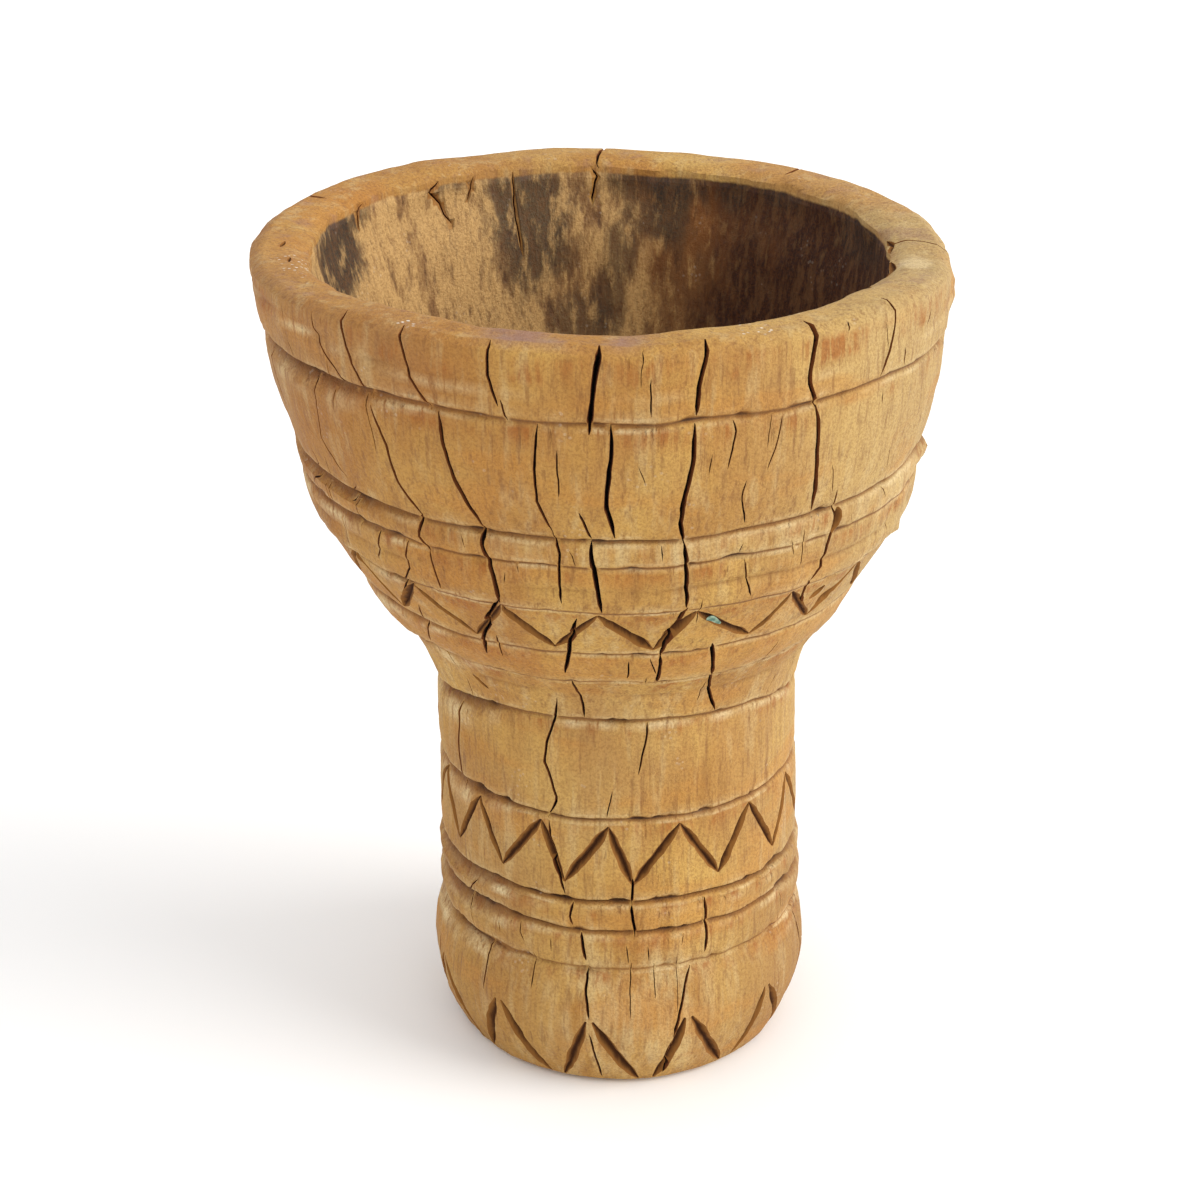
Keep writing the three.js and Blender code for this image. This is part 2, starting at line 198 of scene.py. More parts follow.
def centre_offset(height):
    """How far the log's middle stands to the right at a height."""
    index = max(i for i in range(len(BANDS)) if FLOORS[i] <= max(height, 0.0))
    up = (height - FLOORS[index]) / BANDS[index]["height"]
    return blend(SHIFTS[index], SHIFTS[index + 1], min(max(up, 0.0), 1.0))


def on_log(angle, level):
    """A point on the log and the outward direction there."""
    turn = math.radians(angle)
    radius, height = outline(level)
    step = 0.02
    r0, h0 = outline(level - step)
    r1, h1 = outline(level + step)
    run = math.hypot(r1 - r0, h1 - h0) or 1.0
    out, up = (h1 - h0) / run, -(r1 - r0) / run
    height += ring_tilt(level) * (1 - ease(math.cos(turn), 0.2, 1.0))
    height += FRONT_RISE * ease(height, RISE_START, RISE_END) * ease(math.cos(turn), 0.1, 0.9)
    point = Vector((centre_offset(height) + radius * math.sin(turn), -radius * math.cos(turn), height))
    return point, Vector((out * math.sin(turn), -out * math.cos(turn), up))


# ---- What the knife cut ----

# Rows of V notches: given angles of the upper and lower ends on the front, evenly spaced behind.
BOWL_ROW = dict(band=BOWL_TEETH, count=19, low=0.14, high=0.94, width=4.0, vary=(0.6, 1.15), seed=11,
                front=(2.6, 3.4, 4.3, 3.0, 4.7, 5.0, 3.9, 2.8),
                tops=(-39, -20, -2, 16, 36), bottoms=(-28, -11, 9, 30))
STEM_ROW = dict(band=STEM_TEETH, count=15, low=0.22, high=0.92, width=3.8, vary=(0.8, 1.15), seed=12,
                front=(3.2, 4.0, 3.6, 4.2, 3.6, 4.0, 3.8, 4.2),
                tops=(-49, -24, -3, 19, 45), bottoms=(-39, -17, 4, 32))
# The foot has separate chevrons: each leg runs down from the top by its own angle.
FOOT_ROW = dict(band=FOOT, count=12, first=-9.5, low=0.05, high=0.6, left=9, right=16, width=4.6,
                vary=(0.85, 1.15), seed=13)


APEX_SHARE = 0.08      # how far a chevron's leg starts from its tip, as a share of the leg's reach

# How a notch is cut and how a crack opens, under the names of the cutting tree's inputs.
KNIFE = {"Rise": 0.0014, "Step": 0.0018, "Wander": 0.0004, "Raggedness": 0.3, "Blunt": 0.2, "Taper": 4.0,
         "Seed": 3.0, "Width Scale": 0.92}
DRYING = {"Rise": 0.0012, "Step": 0.002, "Raggedness": 0.26, "Blunt": 0.16, "Taper": 6.5, "Seed": 5.0,
          "Width Scale": 0.8}


# ---- How the log split ----

# Main drying cracks: width, then points as (angle, level).
CRACKS = (
    (1.3, ((-42.6, RIM + 1.03), (-42, RIM + 0.75), (-40.5, RIM + 0.3), (-38.2, WALL + 0.96))),
    (1.5, ((-38.5, WALL + 0.9), (-36.5, WALL + 0.6), (-35.3, WALL + 0.3), (-31.9, WALL + 0.02))),
    (1.6, ((-31.9, WALL + 0.04), (-33.5, UPPER_BEAD + 0.3), (-31.8, LOWER_BEAD + 0.9))),
    (1.1, ((-31.9, LOWER_BEAD + 0.9), (-31.8, LOWER_BEAD + 0.6), (-31.2, LOWER_BEAD + 0.1))),
    (1.3, ((-30.9, RIM + 1.02), (-30.6, RIM + 0.85), (-29.6, RIM + 0.35), (-26.8, WALL + 0.99))),
    (1.9, ((-25.5, WALL + 0.98), (-25.2, WALL + 0.75), (-24, WALL + 0.45), (-22.2, WALL + 0.2),
           (-20.3, WALL + 0.01))),
    (2.1, ((-20.4, WALL + 0.04), (-21.4, UPPER_BEAD + 0.5), (-20.6, LOWER_BEAD + 0.95),
           (-19.8, LOWER_BEAD + 0.5), (-19.6, LOWER_BEAD + 0.05))),
    (2.0, ((-19.7, LOWER_BEAD + 0.12), (-22, BOWL_TEETH + 0.8), (-24.8, BOWL_TEETH + 0.4),
           (-27, BOWL_TEETH + 0.05), (-28, SHOULDER + 0.6))),
    (1.3, ((-16.3, RIM + 1.0), (-16.3, RIM + 0.8), (-16.6, RIM + 0.5), (-15.4, RIM + 0.15))),
    (2.5, ((0.2, RIM + 1.03), (0, RIM + 0.85), (-0.9, RIM + 0.5), (-1.7, RIM + 0.1), (-2.1, WALL + 0.92))),
    (2.0, ((16.3, RIM + 1.03), (15.9, RIM + 0.85), (14.6, RIM + 0.45), (14, RIM + 0.04))),
    (2.1, ((13.8, WALL + 0.98), (13.5, WALL + 0.7), (12.2, WALL + 0.4), (11.8, WALL + 0.15),
           (12.8, UPPER_BEAD + 0.7))),
    (2.0, ((12.6, UPPER_BEAD + 0.9), (13, UPPER_BEAD + 0.2), (13, LOWER_BEAD + 0.6),
           (13.6, LOWER_BEAD + 0.1))),
    (2.2, ((13.9, LOWER_BEAD + 0.1), (12.8, BOWL_TEETH + 0.75), (11.2, BOWL_TEETH + 0.3),
           (10.8, SHOULDER + 0.9))),
    (1.8, ((10.8, SHOULDER + 0.95), (10.8, SHOULDER + 0.6), (10.9, SHOULDER + 0.05))),
    (2.0, ((1.2, WALL + 0.99), (1.0, WALL + 0.75), (0.3, WALL + 0.45), (0.2, WALL + 0.3),
           (1.3, WALL + 0.03))),
    (1.2, ((-9.7, WALL + 0.98), (-10.7, WALL + 0.6), (-10.6, WALL + 0.35), (-8.6, WALL + 0.05))),
    (1.3, ((-8.8, WALL + 0.06), (-8, UPPER_BEAD + 0.5), (-8.4, LOWER_BEAD + 0.9),
           (-8.2, LOWER_BEAD + 0.2))),
    (1.2, ((-4.2, WALL + 0.27), (-3.2, WALL + 0.12), (-2.5, WALL + 0.01))),
    (1.9, ((-2.5, UPPER_BEAD + 0.97), (-2.7, UPPER_BEAD + 0.4), (-2.3, LOWER_BEAD + 0.8),
           (-1.2, LOWER_BEAD + 0.03))),
    (2.3, ((34.9, RIM + 1.3), (34.4, RIM + 0.97), (33.4, RIM + 0.6), (32.8, RIM + 0.3),
           (34.4, WALL + 0.95))),
    (2.3, ((34.4, WALL + 0.98), (35.1, WALL + 0.7), (35.6, WALL + 0.4), (36.1, WALL + 0.05))),
    (1.4, ((52.8, RIM + 1.2), (52.2, RIM + 0.97), (50.6, RIM + 0.5), (48.3, RIM + 0.06))),
    (1.0, ((41.3, WALL + 0.17), (41.5, WALL + 0.02), (42.3, UPPER_BEAD + 0.6))),
    (1.7, ((42.4, UPPER_BEAD + 0.4), (41, LOWER_BEAD + 0.85), (40.5, LOWER_BEAD + 0.4),
           (39, LOWER_BEAD + 0.1))),
    (1.8, ((38.7, LOWER_BEAD + 0.12), (39.6, BOWL_TEETH + 0.8), (40.6, BOWL_TEETH + 0.55))),
    (1.8, ((-5.8, BOWL_TEETH + 0.84), (-8, BOWL_TEETH + 0.2), (-8.9, SHOULDER + 0.8),
           (-10.5, SHOULDER + 0.3))),
    (1.2, ((-10, COLLAR + 0.98), (-9, COLLAR + 0.5), (-9.7, COLLAR + 0.03))),
    (1.9, ((21.6, BOWL_TEETH + 0.12), (23, SHOULDER + 0.6), (24.6, SHOULDER + 0.05))),
    (1.7, ((24.8, SHOULDER + 0.08), (27, COLLAR + 0.6), (31.2, COLLAR + 0.03))),
    (1.3, ((-16.7, COLLAR + 0.4), (-18.6, STEM + 0.98), (-21.6, STEM + 0.72), (-22.8, STEM + 0.52),
           (-20.3, STEM + 0.36), (-18.5, STEM + 0.17), (-21.7, STEM_TEETH + 0.95))),
    (1.3, ((-21.4, STEM_TEETH + 0.93), (-19.8, STEM_TEETH + 0.5), (-16.9, STEM_TEETH + 0.05))),
    (1.3, ((3.9, STEM_TEETH + 0.3), (3.5, UPPER_RIDGE + 0.97))),
    (1.5, ((3.5, UPPER_RIDGE + 0.97), (4, UPPER_RIDGE + 0.3), (4.3, LOWER_RIDGE + 0.9))),
    (1.1, ((-14.4, UPPER_RIDGE + 0.98), (-15.3, UPPER_RIDGE + 0.5), (-14.6, UPPER_RIDGE + 0.1))),
    (1.5, ((-12, LOWER_RIDGE + 0.98), (-11.4, LOWER_RIDGE + 0.6), (-10.6, LOWER_RIDGE + 0.2))),
    (1.3, ((-10.1, FOOT + 1.0), (-10.7, FOOT + 0.85), (-9.2, FOOT + 0.62))),
    (1.5, ((26.7, UPPER_RIDGE + 0.95), (27.4, UPPER_RIDGE + 0.4), (27.2, LOWER_RIDGE + 0.8),
           (26.7, LOWER_RIDGE + 0.2))),
    (1.6, ((22.2, FOOT + 0.98), (19.8, FOOT + 0.86), (17.8, FOOT + 0.62), (16.2, FOOT + 0.45))),
    (1.5, ((15.8, FOOT + 0.42), (14.8, FOOT + 0.3), (14.4, FOOT + 0.1))),
    (1.0, ((-5.6, FOOT + 0.06), (-7, FOOT + 0.25), (-9.3, FOOT + 0.5))),
    (1.2, ((93, RIM + 1.96), (92.5, RIM + 1.6), (91.5, RIM + 1.3), (90, RIM + 1.03), (88, RIM + 0.6))),
    (1.7, ((113, WALL + 0.9), (114, WALL + 0.5), (111, WALL + 0.05))),
    (1.5, ((111, WALL + 0.03), (112, UPPER_BEAD + 0.3), (110, LOWER_BEAD + 0.2))),
    (1.6, ((141, RIM + 1.4), (141, RIM + 0.95), (142, RIM + 0.5), (141, RIM + 0.05))),
    (2.2, ((141, WALL + 0.98), (140, WALL + 0.7), (143, WALL + 0.3), (142, WALL + 0.05))),
    (1.5, ((181, RIM + 1.97), (180.6, RIM + 1.5), (180, RIM + 1.02), (179, RIM + 0.5), (178, RIM + 0.05))),
    (2.3, ((178, WALL + 0.98), (177, WALL + 0.7), (179, WALL + 0.3), (180, WALL + 0.02))),
    (2.0, ((207, WALL + 0.95), (210, WALL + 0.5), (210, WALL + 0.1))),
    (1.9, ((210, UPPER_BEAD + 0.95), (208, LOWER_BEAD + 0.6), (211, BOWL_TEETH + 0.6))),
    (1.8, ((243, RIM + 1.3), (243, RIM + 0.9), (241, RIM + 0.5), (243, RIM + 0.05))),
    (2.2, ((244, WALL + 0.97), (246, WALL + 0.6), (245, WALL + 0.2))),
    (1.8, ((274, WALL + 0.8), (271, WALL + 0.4), (272, WALL + 0.05))),
    (1.6, ((120, STEM + 0.95), (117, STEM + 0.4), (119, STEM + 0.03))),
    (1.6, ((228, COLLAR + 0.5), (230, STEM + 0.9), (229, STEM + 0.4), (227, STEM + 0.1))),
    (1.8, ((168, LOWER_RIDGE + 0.5), (165, FOOT + 0.8), (169, FOOT + 0.2))),
    (1.5, ((92, COLLAR + 0.9), (95, COLLAR + 0.3), (93, STEM + 0.7))),
    (1.4, ((265, STEM_TEETH + 0.4), (263, UPPER_RIDGE + 0.4), (262, LOWER_RIDGE + 0.4))),
    (1.6, ((302, STEM + 0.9), (300, STEM + 0.3), (302, STEM_TEETH + 0.9))),
    (1.5, ((75, FOOT + 0.9), (78, FOOT + 0.5), (76, FOOT + 0.1))),
    (1.1, ((-178, RIM + 1.97), (-179, RIM + 2.05), (-177.6, RIM + 2.13))),
    (0.9, ((-122, RIM + 2.01), (-120, RIM + 2.05), (-119.4, RIM + 2.1))),
    (1.0, ((-143.9, RIM + 2.0), (-141, RIM + 2.05), (-143.2, RIM + 2.09), (-145, RIM + 2.15))),
    (0.7, ((-152.5, RIM + 2.02), (-150, RIM + 2.1))),
    (0.8, ((-161, RIM + 2.01), (-160.4, RIM + 2.12), (-160.6, RIM + 2.22))),
)

# Narrow checks: the same, 0.5 to 1 wide.
FINE_CRACKS = (
    (0.8, ((-52.4, WALL + 0.98), (-52.3, WALL + 0.75), (-53.9, WALL + 0.4), (-48.8, WALL + 0.12))),
    (0.7, ((-46.7, WALL + 0.08), (-50, UPPER_BEAD + 0.6))),
    (0.7, ((-59.7, WALL + 0.2), (-59, WALL + 0.08), (-65, UPPER_BEAD + 0.2))),
    (0.9, ((-49.6, RIM + 0.9), (-49.2, RIM + 0.6), (-46.7, RIM + 0.3), (-41.5, WALL + 0.97))),
    (0.8, ((-15, RIM + 0.25), (-14.3, WALL + 0.98))),
    (0.8, ((19.9, WALL + 0.98), (20.4, WALL + 0.9), (19, WALL + 0.6))),
    (0.7, ((28.1, WALL + 0.95), (27.7, WALL + 0.8), (25.8, WALL + 0.54))),
    (0.8, ((22.3, WALL + 0.48), (21.8, WALL + 0.33), (23, WALL + 0.08))),
    (0.8, ((23.5, LOWER_BEAD + 0.95), (24.2, LOWER_BEAD + 0.6), (25.8, LOWER_BEAD + 0.14))),
    (0.6, ((8.8, UPPER_BEAD + 0.8), (8.9, UPPER_BEAD + 0.25))),
    (0.6, ((22.9, UPPER_BEAD + 0.55), (22.4, UPPER_BEAD + 0.1))),
    (0.7, ((41.5, RIM + 0.98), (40.7, RIM + 0.85))),
    (0.8, ((54.8, RIM + 0.35), (55, RIM + 0.07))),
    (0.7, ((49.8, WALL + 0.9), (49.7, WALL + 0.8))),
    (0.8, ((64.2, RIM + 0.7), (62.7, RIM + 0.46))),
    (0.9, ((-43.5, LOWER_BEAD + 0.95), (-44.5, LOWER_BEAD + 0.6), (-45.5, LOWER_BEAD + 0.28))),
    (1.0, ((-36.7, LOWER_BEAD + 0.96), (-38, LOWER_BEAD + 0.55), (-37.4, LOWER_BEAD + 0.38),
           (-39.9, LOWER_BEAD + 0.02), (-43, BOWL_TEETH + 0.7))),
    (0.9, ((-41.4, BOWL_TEETH + 0.4), (-43.1, BOWL_TEETH + 0.14), (-44, SHOULDER + 0.8),
           (-47.6, SHOULDER + 0.27))),
    (0.7, ((8.6, SHOULDER + 0.9), (10.1, SHOULDER + 0.4))),
    (0.8, ((4.1, SHOULDER + 0.8), (3.6, SHOULDER + 0.2))),
    (0.9, ((9.4, STEM + 0.98), (9.4, STEM + 0.86), (8.3, STEM + 0.7), (6.4, STEM + 0.46))),
    (0.6, ((-1.5, STEM + 0.3), (-3.4, STEM + 0.02))),
    (0.9, ((-51.2, UPPER_RIDGE + 0.65), (-55.9, LOWER_RIDGE + 0.9), (-55.1, LOWER_RIDGE + 0.5))),
    (0.9, ((-44.7, FOOT + 0.99), (-44.5, FOOT + 0.8), (-45.1, FOOT + 0.62))),
    (0.6, ((-31.9, LOWER_RIDGE + 0.9), (-32.2, LOWER_RIDGE + 0.6), (-30.7, LOWER_RIDGE + 0.36))),
    (0.6, ((-27.7, LOWER_RIDGE + 0.15), (-27.6, FOOT + 0.78))),
    (0.6, ((1.8, LOWER_RIDGE + 0.66), (2.4, LOWER_RIDGE + 0.16))),
    (0.6, ((8.3, LOWER_RIDGE + 0.64), (8.7, LOWER_RIDGE + 0.2))),
    (0.7, ((-7, WALL + 0.8), (-7.2, WALL + 0.4))),
    (0.7, ((7.5, RIM + 0.6), (7.2, RIM + 0.1))),
    (0.7, ((-23.5, BOWL_TEETH + 0.2), (-24, SHOULDER + 0.6))),
    (0.8, ((99, RIM + 0.8), (98, RIM + 0.2), (101, WALL + 0.8))),
    (0.8, ((127, WALL + 0.6), (125, WALL + 0.2))),
    (0.9, ((160, WALL + 0.9), (162, WALL + 0.5), (159, WALL + 0.2))),
    (0.8, ((193, RIM + 0.9), (195, RIM + 0.3))),
    (0.9, ((225, WALL + 0.7), (223, WALL + 0.2), (226, UPPER_BEAD + 0.2))),
    (0.8, ((258, RIM + 0.7), (257, RIM + 0.1))),
    (0.9, ((289, WALL + 0.9), (290, WALL + 0.4))),
    (0.8, ((145, STEM + 0.6), (147, STEM + 0.2))),
    (0.8, ((195, STEM_TEETH + 0.9), (197, STEM_TEETH + 0.3))),
    (0.8, ((250, STEM + 0.9), (252, STEM + 0.4))),
    (0.8, ((140, FOOT + 0.8), (142, FOOT + 0.3))),
    (0.8, ((210, FOOT + 0.9), (207, FOOT + 0.5))),
    (0.8, ((285, FOOT + 0.7), (287, FOOT + 0.2))),
)

# Torn pockets beside cracks, sunk like notches.
POCKETS = (
    (4.6, ((42.8, UPPER_BEAD + 0.95), (42.6, UPPER_BEAD + 0.5), (41.8, UPPER_BEAD + 0.02))),
    (5.0, ((45.5, BOWL_TEETH + 0.78), (42.5, BOWL_TEETH + 0.6))),
    (3.0, ((80, LOWER_BEAD + 0.95), (81, UPPER_BEAD + 0.5))),
    (3.4, ((11.5, BOWL_TEETH + 0.62), (10.8, BOWL_TEETH + 0.3))),
    (3.6, ((71, RIM + 1.99), (77, RIM + 1.94), (83, RIM + 2.0))),
    (2.8, ((55, RIM + 2.0), (59, RIM + 1.97), (64, RIM + 2.0))),
    (2.2, ((89, RIM + 1.99), (93, RIM + 1.9), (97, RIM + 2.0))),
    (1.6, ((-89, RIM + 1.5), (-86, RIM + 1.42))),
    (1.6, ((-79, RIM + 1.62), (-76, RIM + 1.56))),
    (2.0, ((-44, COLLAR + 0.52), (-40, COLLAR + 0.3))),
)

FEWEST_FACES, MOST_FACES = 1000, 200000    # what a sound cut body has
SHARP_ANGLE = 38.0
CLEAR_OF_EACH_OTHER = 4.5      # between cuts that are made at the same time
CHECKED_BANDS = (LOWER_RIDGE, LOWER_RIDGE, COLLAR, COLLAR, SHOULDER, SHOULDER, LOWER_BEAD, LOWER_BEAD,
                 UPPER_BEAD, UPPER_BEAD, WALL, RIM)
CHECK_LENGTH = (4.0, 12.0)
CHECK_WIDTH = (0.3, 0.55)
CHECK_SEED = 23

# Black stains in the bowl: middle and reach each way, both in metres, and strength.
SOOT_SPOTS = (
    ((-0.1, 0.035, 0.304), (0.0082, 0.03, 0.019), 1.0),
    ((-0.096, 0.055, 0.314), (0.005, 0.02, 0.009), 0.8),
    ((-0.0615, 0.09, 0.316), (0.006, 0.03, 0.006), 0.7),
    ((-0.0315, 0.1, 0.3), (0.0155, 0.04, 0.027), 0.9),
    ((-0.011, 0.097, 0.258), (0.01, 0.04, 0.009), 0.6),
    ((0.022, 0.1, 0.314), (0.021, 0.04, 0.009), 0.9),
    ((0.0245, 0.1, 0.3), (0.007, 0.04, 0.014), 0.9),
    ((0.012, 0.1, 0.3), (0.006, 0.04, 0.008), 0.65),
    ((0.005, 0.1, 0.285), (0.006, 0.04, 0.01), 0.65),
    ((0.001, 0.098, 0.262), (0.006, 0.04, 0.012), 0.65),
    ((0.05, 0.09, 0.312), (0.007, 0.04, 0.009), 0.8),
    ((0.066, 0.08, 0.315), (0.008, 0.04, 0.006), 0.7),
    ((0.095, 0.04, 0.308), (0.006, 0.03, 0.008), 0.6),
)

# The studio: half the floor's side, the way the broad lamp shines and its colour, and the camera.
FLOOR_HALF = 8.0
SUN_DIRECTION = (-1.0, 0.24, -0.62)
SUN_COLOUR = (1.0, 0.97, 0.93)
CAMERA_PLACE = (-0.0012, -0.8653, 0.5923)
CAMERA_TILT, CAMERA_ROLL = 64.39, 0.54
LENS, SENSOR = 75.15, 36.0

# The pale chipped patch of the lip: middle and reach each way, in metres.
CHIPPED_PLACE, CHIPPED_REACH = (0.107, -0.021, 0.32), (0.008, 0.009, 0.006)

# Where the outer wood is tinted, in metres: the tint starts, is full, fades and ends.
PALE_FOOT_UP, PALE_FOOT_ACROSS = (0.0, 0.02, 0.05, 0.075), (-0.03, 0.0, 0.03, 0.055)
PALE_BEAD_UP = (0.243, 0.246, 0.252, 0.256)
AMBER_SHOULDER_UP = (0.184, 0.19, 0.198, 0.204)

# Values kept on the body's points for its colour, and those of the cuts, which are dropped at the end.
STORED = ("recess", "inside", "lip", "crest", "fringe")
CUT_VALUES = ("width", "outward", "spine", "sideways", "wide")

# Patterns in the wood: how fine across and along the grain, detail, roughness and seed.
PATTERNS = dict(
    swath=(16.0, 60.0, 3.0, 0.5, 17.0),
    fibre=(560.0, 60.0, 5.0, 0.62, 1.0),
    strand=(150.0, 18.0, 4.0, 0.6, 2.0),
    blotch=(30.0, 17.0, 4.0, 0.6, 3.0),
    tear=(640.0, 90.0, 3.0, 0.6, 6.0),
    streaks=(420.0, 45.0, 3.0, 0.6, 14.0),
    stain=(75.0, 20.0, 6.0, 0.66, 8.0),
    soot=(40.0, 20.0, 5.0, 0.66, 9.0),
    gouged=(210.0, 55.0, 5.0, 0.66, 15.0),
)

# The pale flake held by a notch: its sizes in millimetres, and how many points run along and across it.
FLAKE = dict(length=5.8, breadth=2.3, thickness=0.4, curl=0.7, proud=0.2)
FLAKE_GRID, FLAKE_SEED = (13, 5), 31


# ---- Node helpers ----

def put(tree, kind, inputs=None, **settings):
    """Adds a node; inputs are values or sockets, by name or number."""
    node = tree.nodes.new(kind)
    for key, value in settings.items():
        setattr(node, key, value)
    for key, value in (inputs or {}).items():
        if isinstance(value, bpy.types.NodeSocket):
            tree.links.new(value, node.inputs[key])
        else:
            node.inputs[key].default_value = value
    return node


def maths(tree, operation, a, b=0.0, clamp=False):
    return put(tree, "ShaderNodeMath", {0: a, 1: b}, operation=operation, use_clamp=clamp).outputs[0]


def total(tree, *values):
    result = values[0]
    for value in values[1:]:
        result = maths(tree, "ADD", result, value)
    return result


def product(tree, *values):
    result = values[0]
    for value in values[1:]:
        result = maths(tree, "MULTIPLY", result, value)
    return result


def vectors(tree, operation, a, b=None):
    inputs = {0: a} if b is None else {0: a, 1: b}
    return put(tree, "ShaderNodeVectorMath", inputs, operation=operation).outputs[0]


def lengthen(tree, vector, amount):
    return put(tree, "ShaderNodeVectorMath", {0: vector, "Scale": amount}, operation="SCALE").outputs[0]


def point_at(tree, x, y, z):
    return put(tree, "ShaderNodeCombineXYZ", {0: x, 1: y, 2: z}).outputs[0]


def spread(tree, value, low, high, start=0.0, end=1.0):
    """Eases from start to end as value goes from low to high."""
    return put(tree, "ShaderNodeMapRange", {
        "Value": value, "From Min": low, "From Max": high, "To Min": start, "To Max": end,
    }, interpolation_type="SMOOTHSTEP").outputs["Result"]


def between(tree, value, start, full, fade, end):
    """1 from full to fade, easing to nothing at start and at end."""
    return product(tree, spread(tree, value, start, full), spread(tree, value, end, fade))


def noise(tree, vector, scale, detail=2.0, roughness=0.5, distortion=0.0, seed=0.0):
    """A cloudy pattern's value, mostly between 0.3 and 0.7."""
    return put(tree, "ShaderNodeTexNoise", {
        "Vector": vector, "W": seed, "Scale": scale, "Detail": detail, "Roughness": roughness,
        "Distortion": distortion}, noise_dimensions="4D").outputs[0]


def swing(tree, *args, **settings):
    """The cloudy pattern's value about its middle, roughly -1 to 1."""
    return product(tree, maths(tree, "SUBTRACT", noise(tree, *args, **settings), 0.5), 4.0)


def new_tree(name, sizes):
    """A geometry tree with a Geometry input and named number inputs."""
    tree = bpy.data.node_groups.new(name, "GeometryNodeTree")
    tree.interface.new_socket("Geometry", in_out="INPUT", socket_type="NodeSocketGeometry")
    for label, value in sizes.items():
        kind = "NodeSocketInt" if isinstance(value, int) else "NodeSocketFloat"
        tree.interface.new_socket(label, in_out="INPUT", socket_type=kind).default_value = value
    tree.interface.new_socket("Geometry", in_out="OUTPUT", socket_type="NodeSocketGeometry")
    return tree, tree.nodes.new("NodeGroupInput"), tree.nodes.new("NodeGroupOutput")


def end_tree(tree, leave, geometry, material):
    real = put(tree, "GeometryNodeRealizeInstances", {"Geometry": geometry}).outputs[0]
    finished = put(tree, "GeometryNodeSetMaterial", {"Geometry": real, "Material": material}).outputs[0]
    tree.links.new(finished, leave.inputs[0])


def named(tree, name, kind="FLOAT"):
    return put(tree, "GeometryNodeInputNamedAttribute", {"Name": name}, data_type=kind).outputs[0]


def keep(tree, geometry, name, value, kind="FLOAT"):
    return put(tree, "GeometryNodeStoreNamedAttribute", {
        "Geometry": geometry, "Name": name, "Value": value}, data_type=kind, domain="POINT").outputs[0]


def grow(thing, tree, sizes):
    """Puts the tree on the object, with its inputs set before the object is evaluated."""
    modifier = thing.modifiers.new(tree.name, "NODES")
    modifier.node_group = tree
    for item in tree.interface.items_tree:
        if item.in_out == "INPUT" and item.name in sizes:
            modifier[item.identifier] = sizes[item.name]


def settle(thing):
    """Makes the evaluated mesh the object's own and drops the modifiers."""
    graph = bpy.context.evaluated_depsgraph_get()
    mesh = bpy.data.meshes.new_from_object(thing.evaluated_get(graph), preserve_all_data_layers=True,
                                           depsgraph=graph)
    if len(mesh.materials) > 1 and mesh.materials[0] is None:
        mesh.materials.pop(index=0)
    thing.modifiers.clear()
    thing.data = mesh


def add_object(name, vertices, edges=(), faces=()):
    mesh = bpy.data.meshes.new(name)
    mesh.from_pydata(vertices, edges, faces)
    thing = bpy.data.objects.new(name, mesh)
    bpy.context.collection.objects.link(thing)
    return thing


def add_values(mesh, name, values):
    """Stores one number or one vector for each point."""
    several = hasattr(values[0], "__len__")
    attribute = mesh.attributes.new(name, "FLOAT_VECTOR" if several else "FLOAT", "POINT")
    flat = [number for value in values for number in value] if several else values
    attribute.data.foreach_set("vector" if several else "value", flat)


# ---- The turned log ----

def log_rows():
    """Rows of the outline from the middle of the base to the middle of the bowl."""
    levels = {RIM + 1 + k / LIP_ROWS for k in range(-1, LIP_ROWS)}
    for index, band in enumerate(BANDS):
        steps = max(2, round(band["height"] / ROW_STEP))
        levels |= {index + k / steps for k in range(steps)}
        if index < RIM:
            top = index + 1
            levels |= {top + d / BANDS[top if d > 0 else index]["height"] for d in SEAM_ROWS}
    base = BANDS[FOOT]["lower"] - BASE_ROUND
    rows = [dict(radius=base * k / BASE_ROWS, height=0.0) for k in range(BASE_ROWS)]
    for level in sorted({round(level, 3) for level in levels}):
        radius, height = outline(level)
        if height < BASE_ROUND:
            under = 1 - height / BASE_ROUND
            radius -= BASE_ROUND * (1 - math.sqrt(1 - under * under))
        seam = min(range(1, len(BANDS)), key=lambda i: abs(FLOORS[i] - height))
        row = dict(radius=radius, height=height, tilt=ring_tilt(level), lip=ease(level, RIM + 0.9, RIM + 1.1))
        if level < RIM + 0.9:
            cut = BANDS[seam - 1]
            row.update(seam=height - FLOORS[seam], groove=cut["groove"], reach=cut["reach"])
            row["crease"] = min((height - band_height(line) for line in CREASES), key=abs)
            under = FLOORS[min(int(level) + 1, RIM)] - height
            row["fringe"] = max(ease(under, 1.0, 2.5) * (1 - ease(under, 3.5, 10)),
                                ease(level, RIM + 0.42, RIM + 0.5) * (1 - ease(level, RIM + 0.8, RIM + 0.9)))
        row["shift"] = centre_offset(height)
        rows.append(row)
    for k in range(BOWL_ROWS + 1):
        radius, height = outline(RIM + 2 + k / BOWL_ROWS)
        rows.append(dict(radius=radius, height=height, lip=1 - ease(k, 0, 3), inside=ease(k, 0, 2),
                         mouth=1 - ease(k, 0, 4), shift=centre_offset(height)))
    return rows


def log_profile():
    rows = log_rows()
    thing = add_object("log_outline", [(row["radius"] * MM, 0.0, row["height"] * MM) for row in rows],
                       edges=[(i, i + 1) for i in range(len(rows) - 1)])
    for name, (unit, usual) in ROW_VALUES.items():
        add_values(thing.data, name, [row.get(name, usual) * unit for row in rows])
    return thing


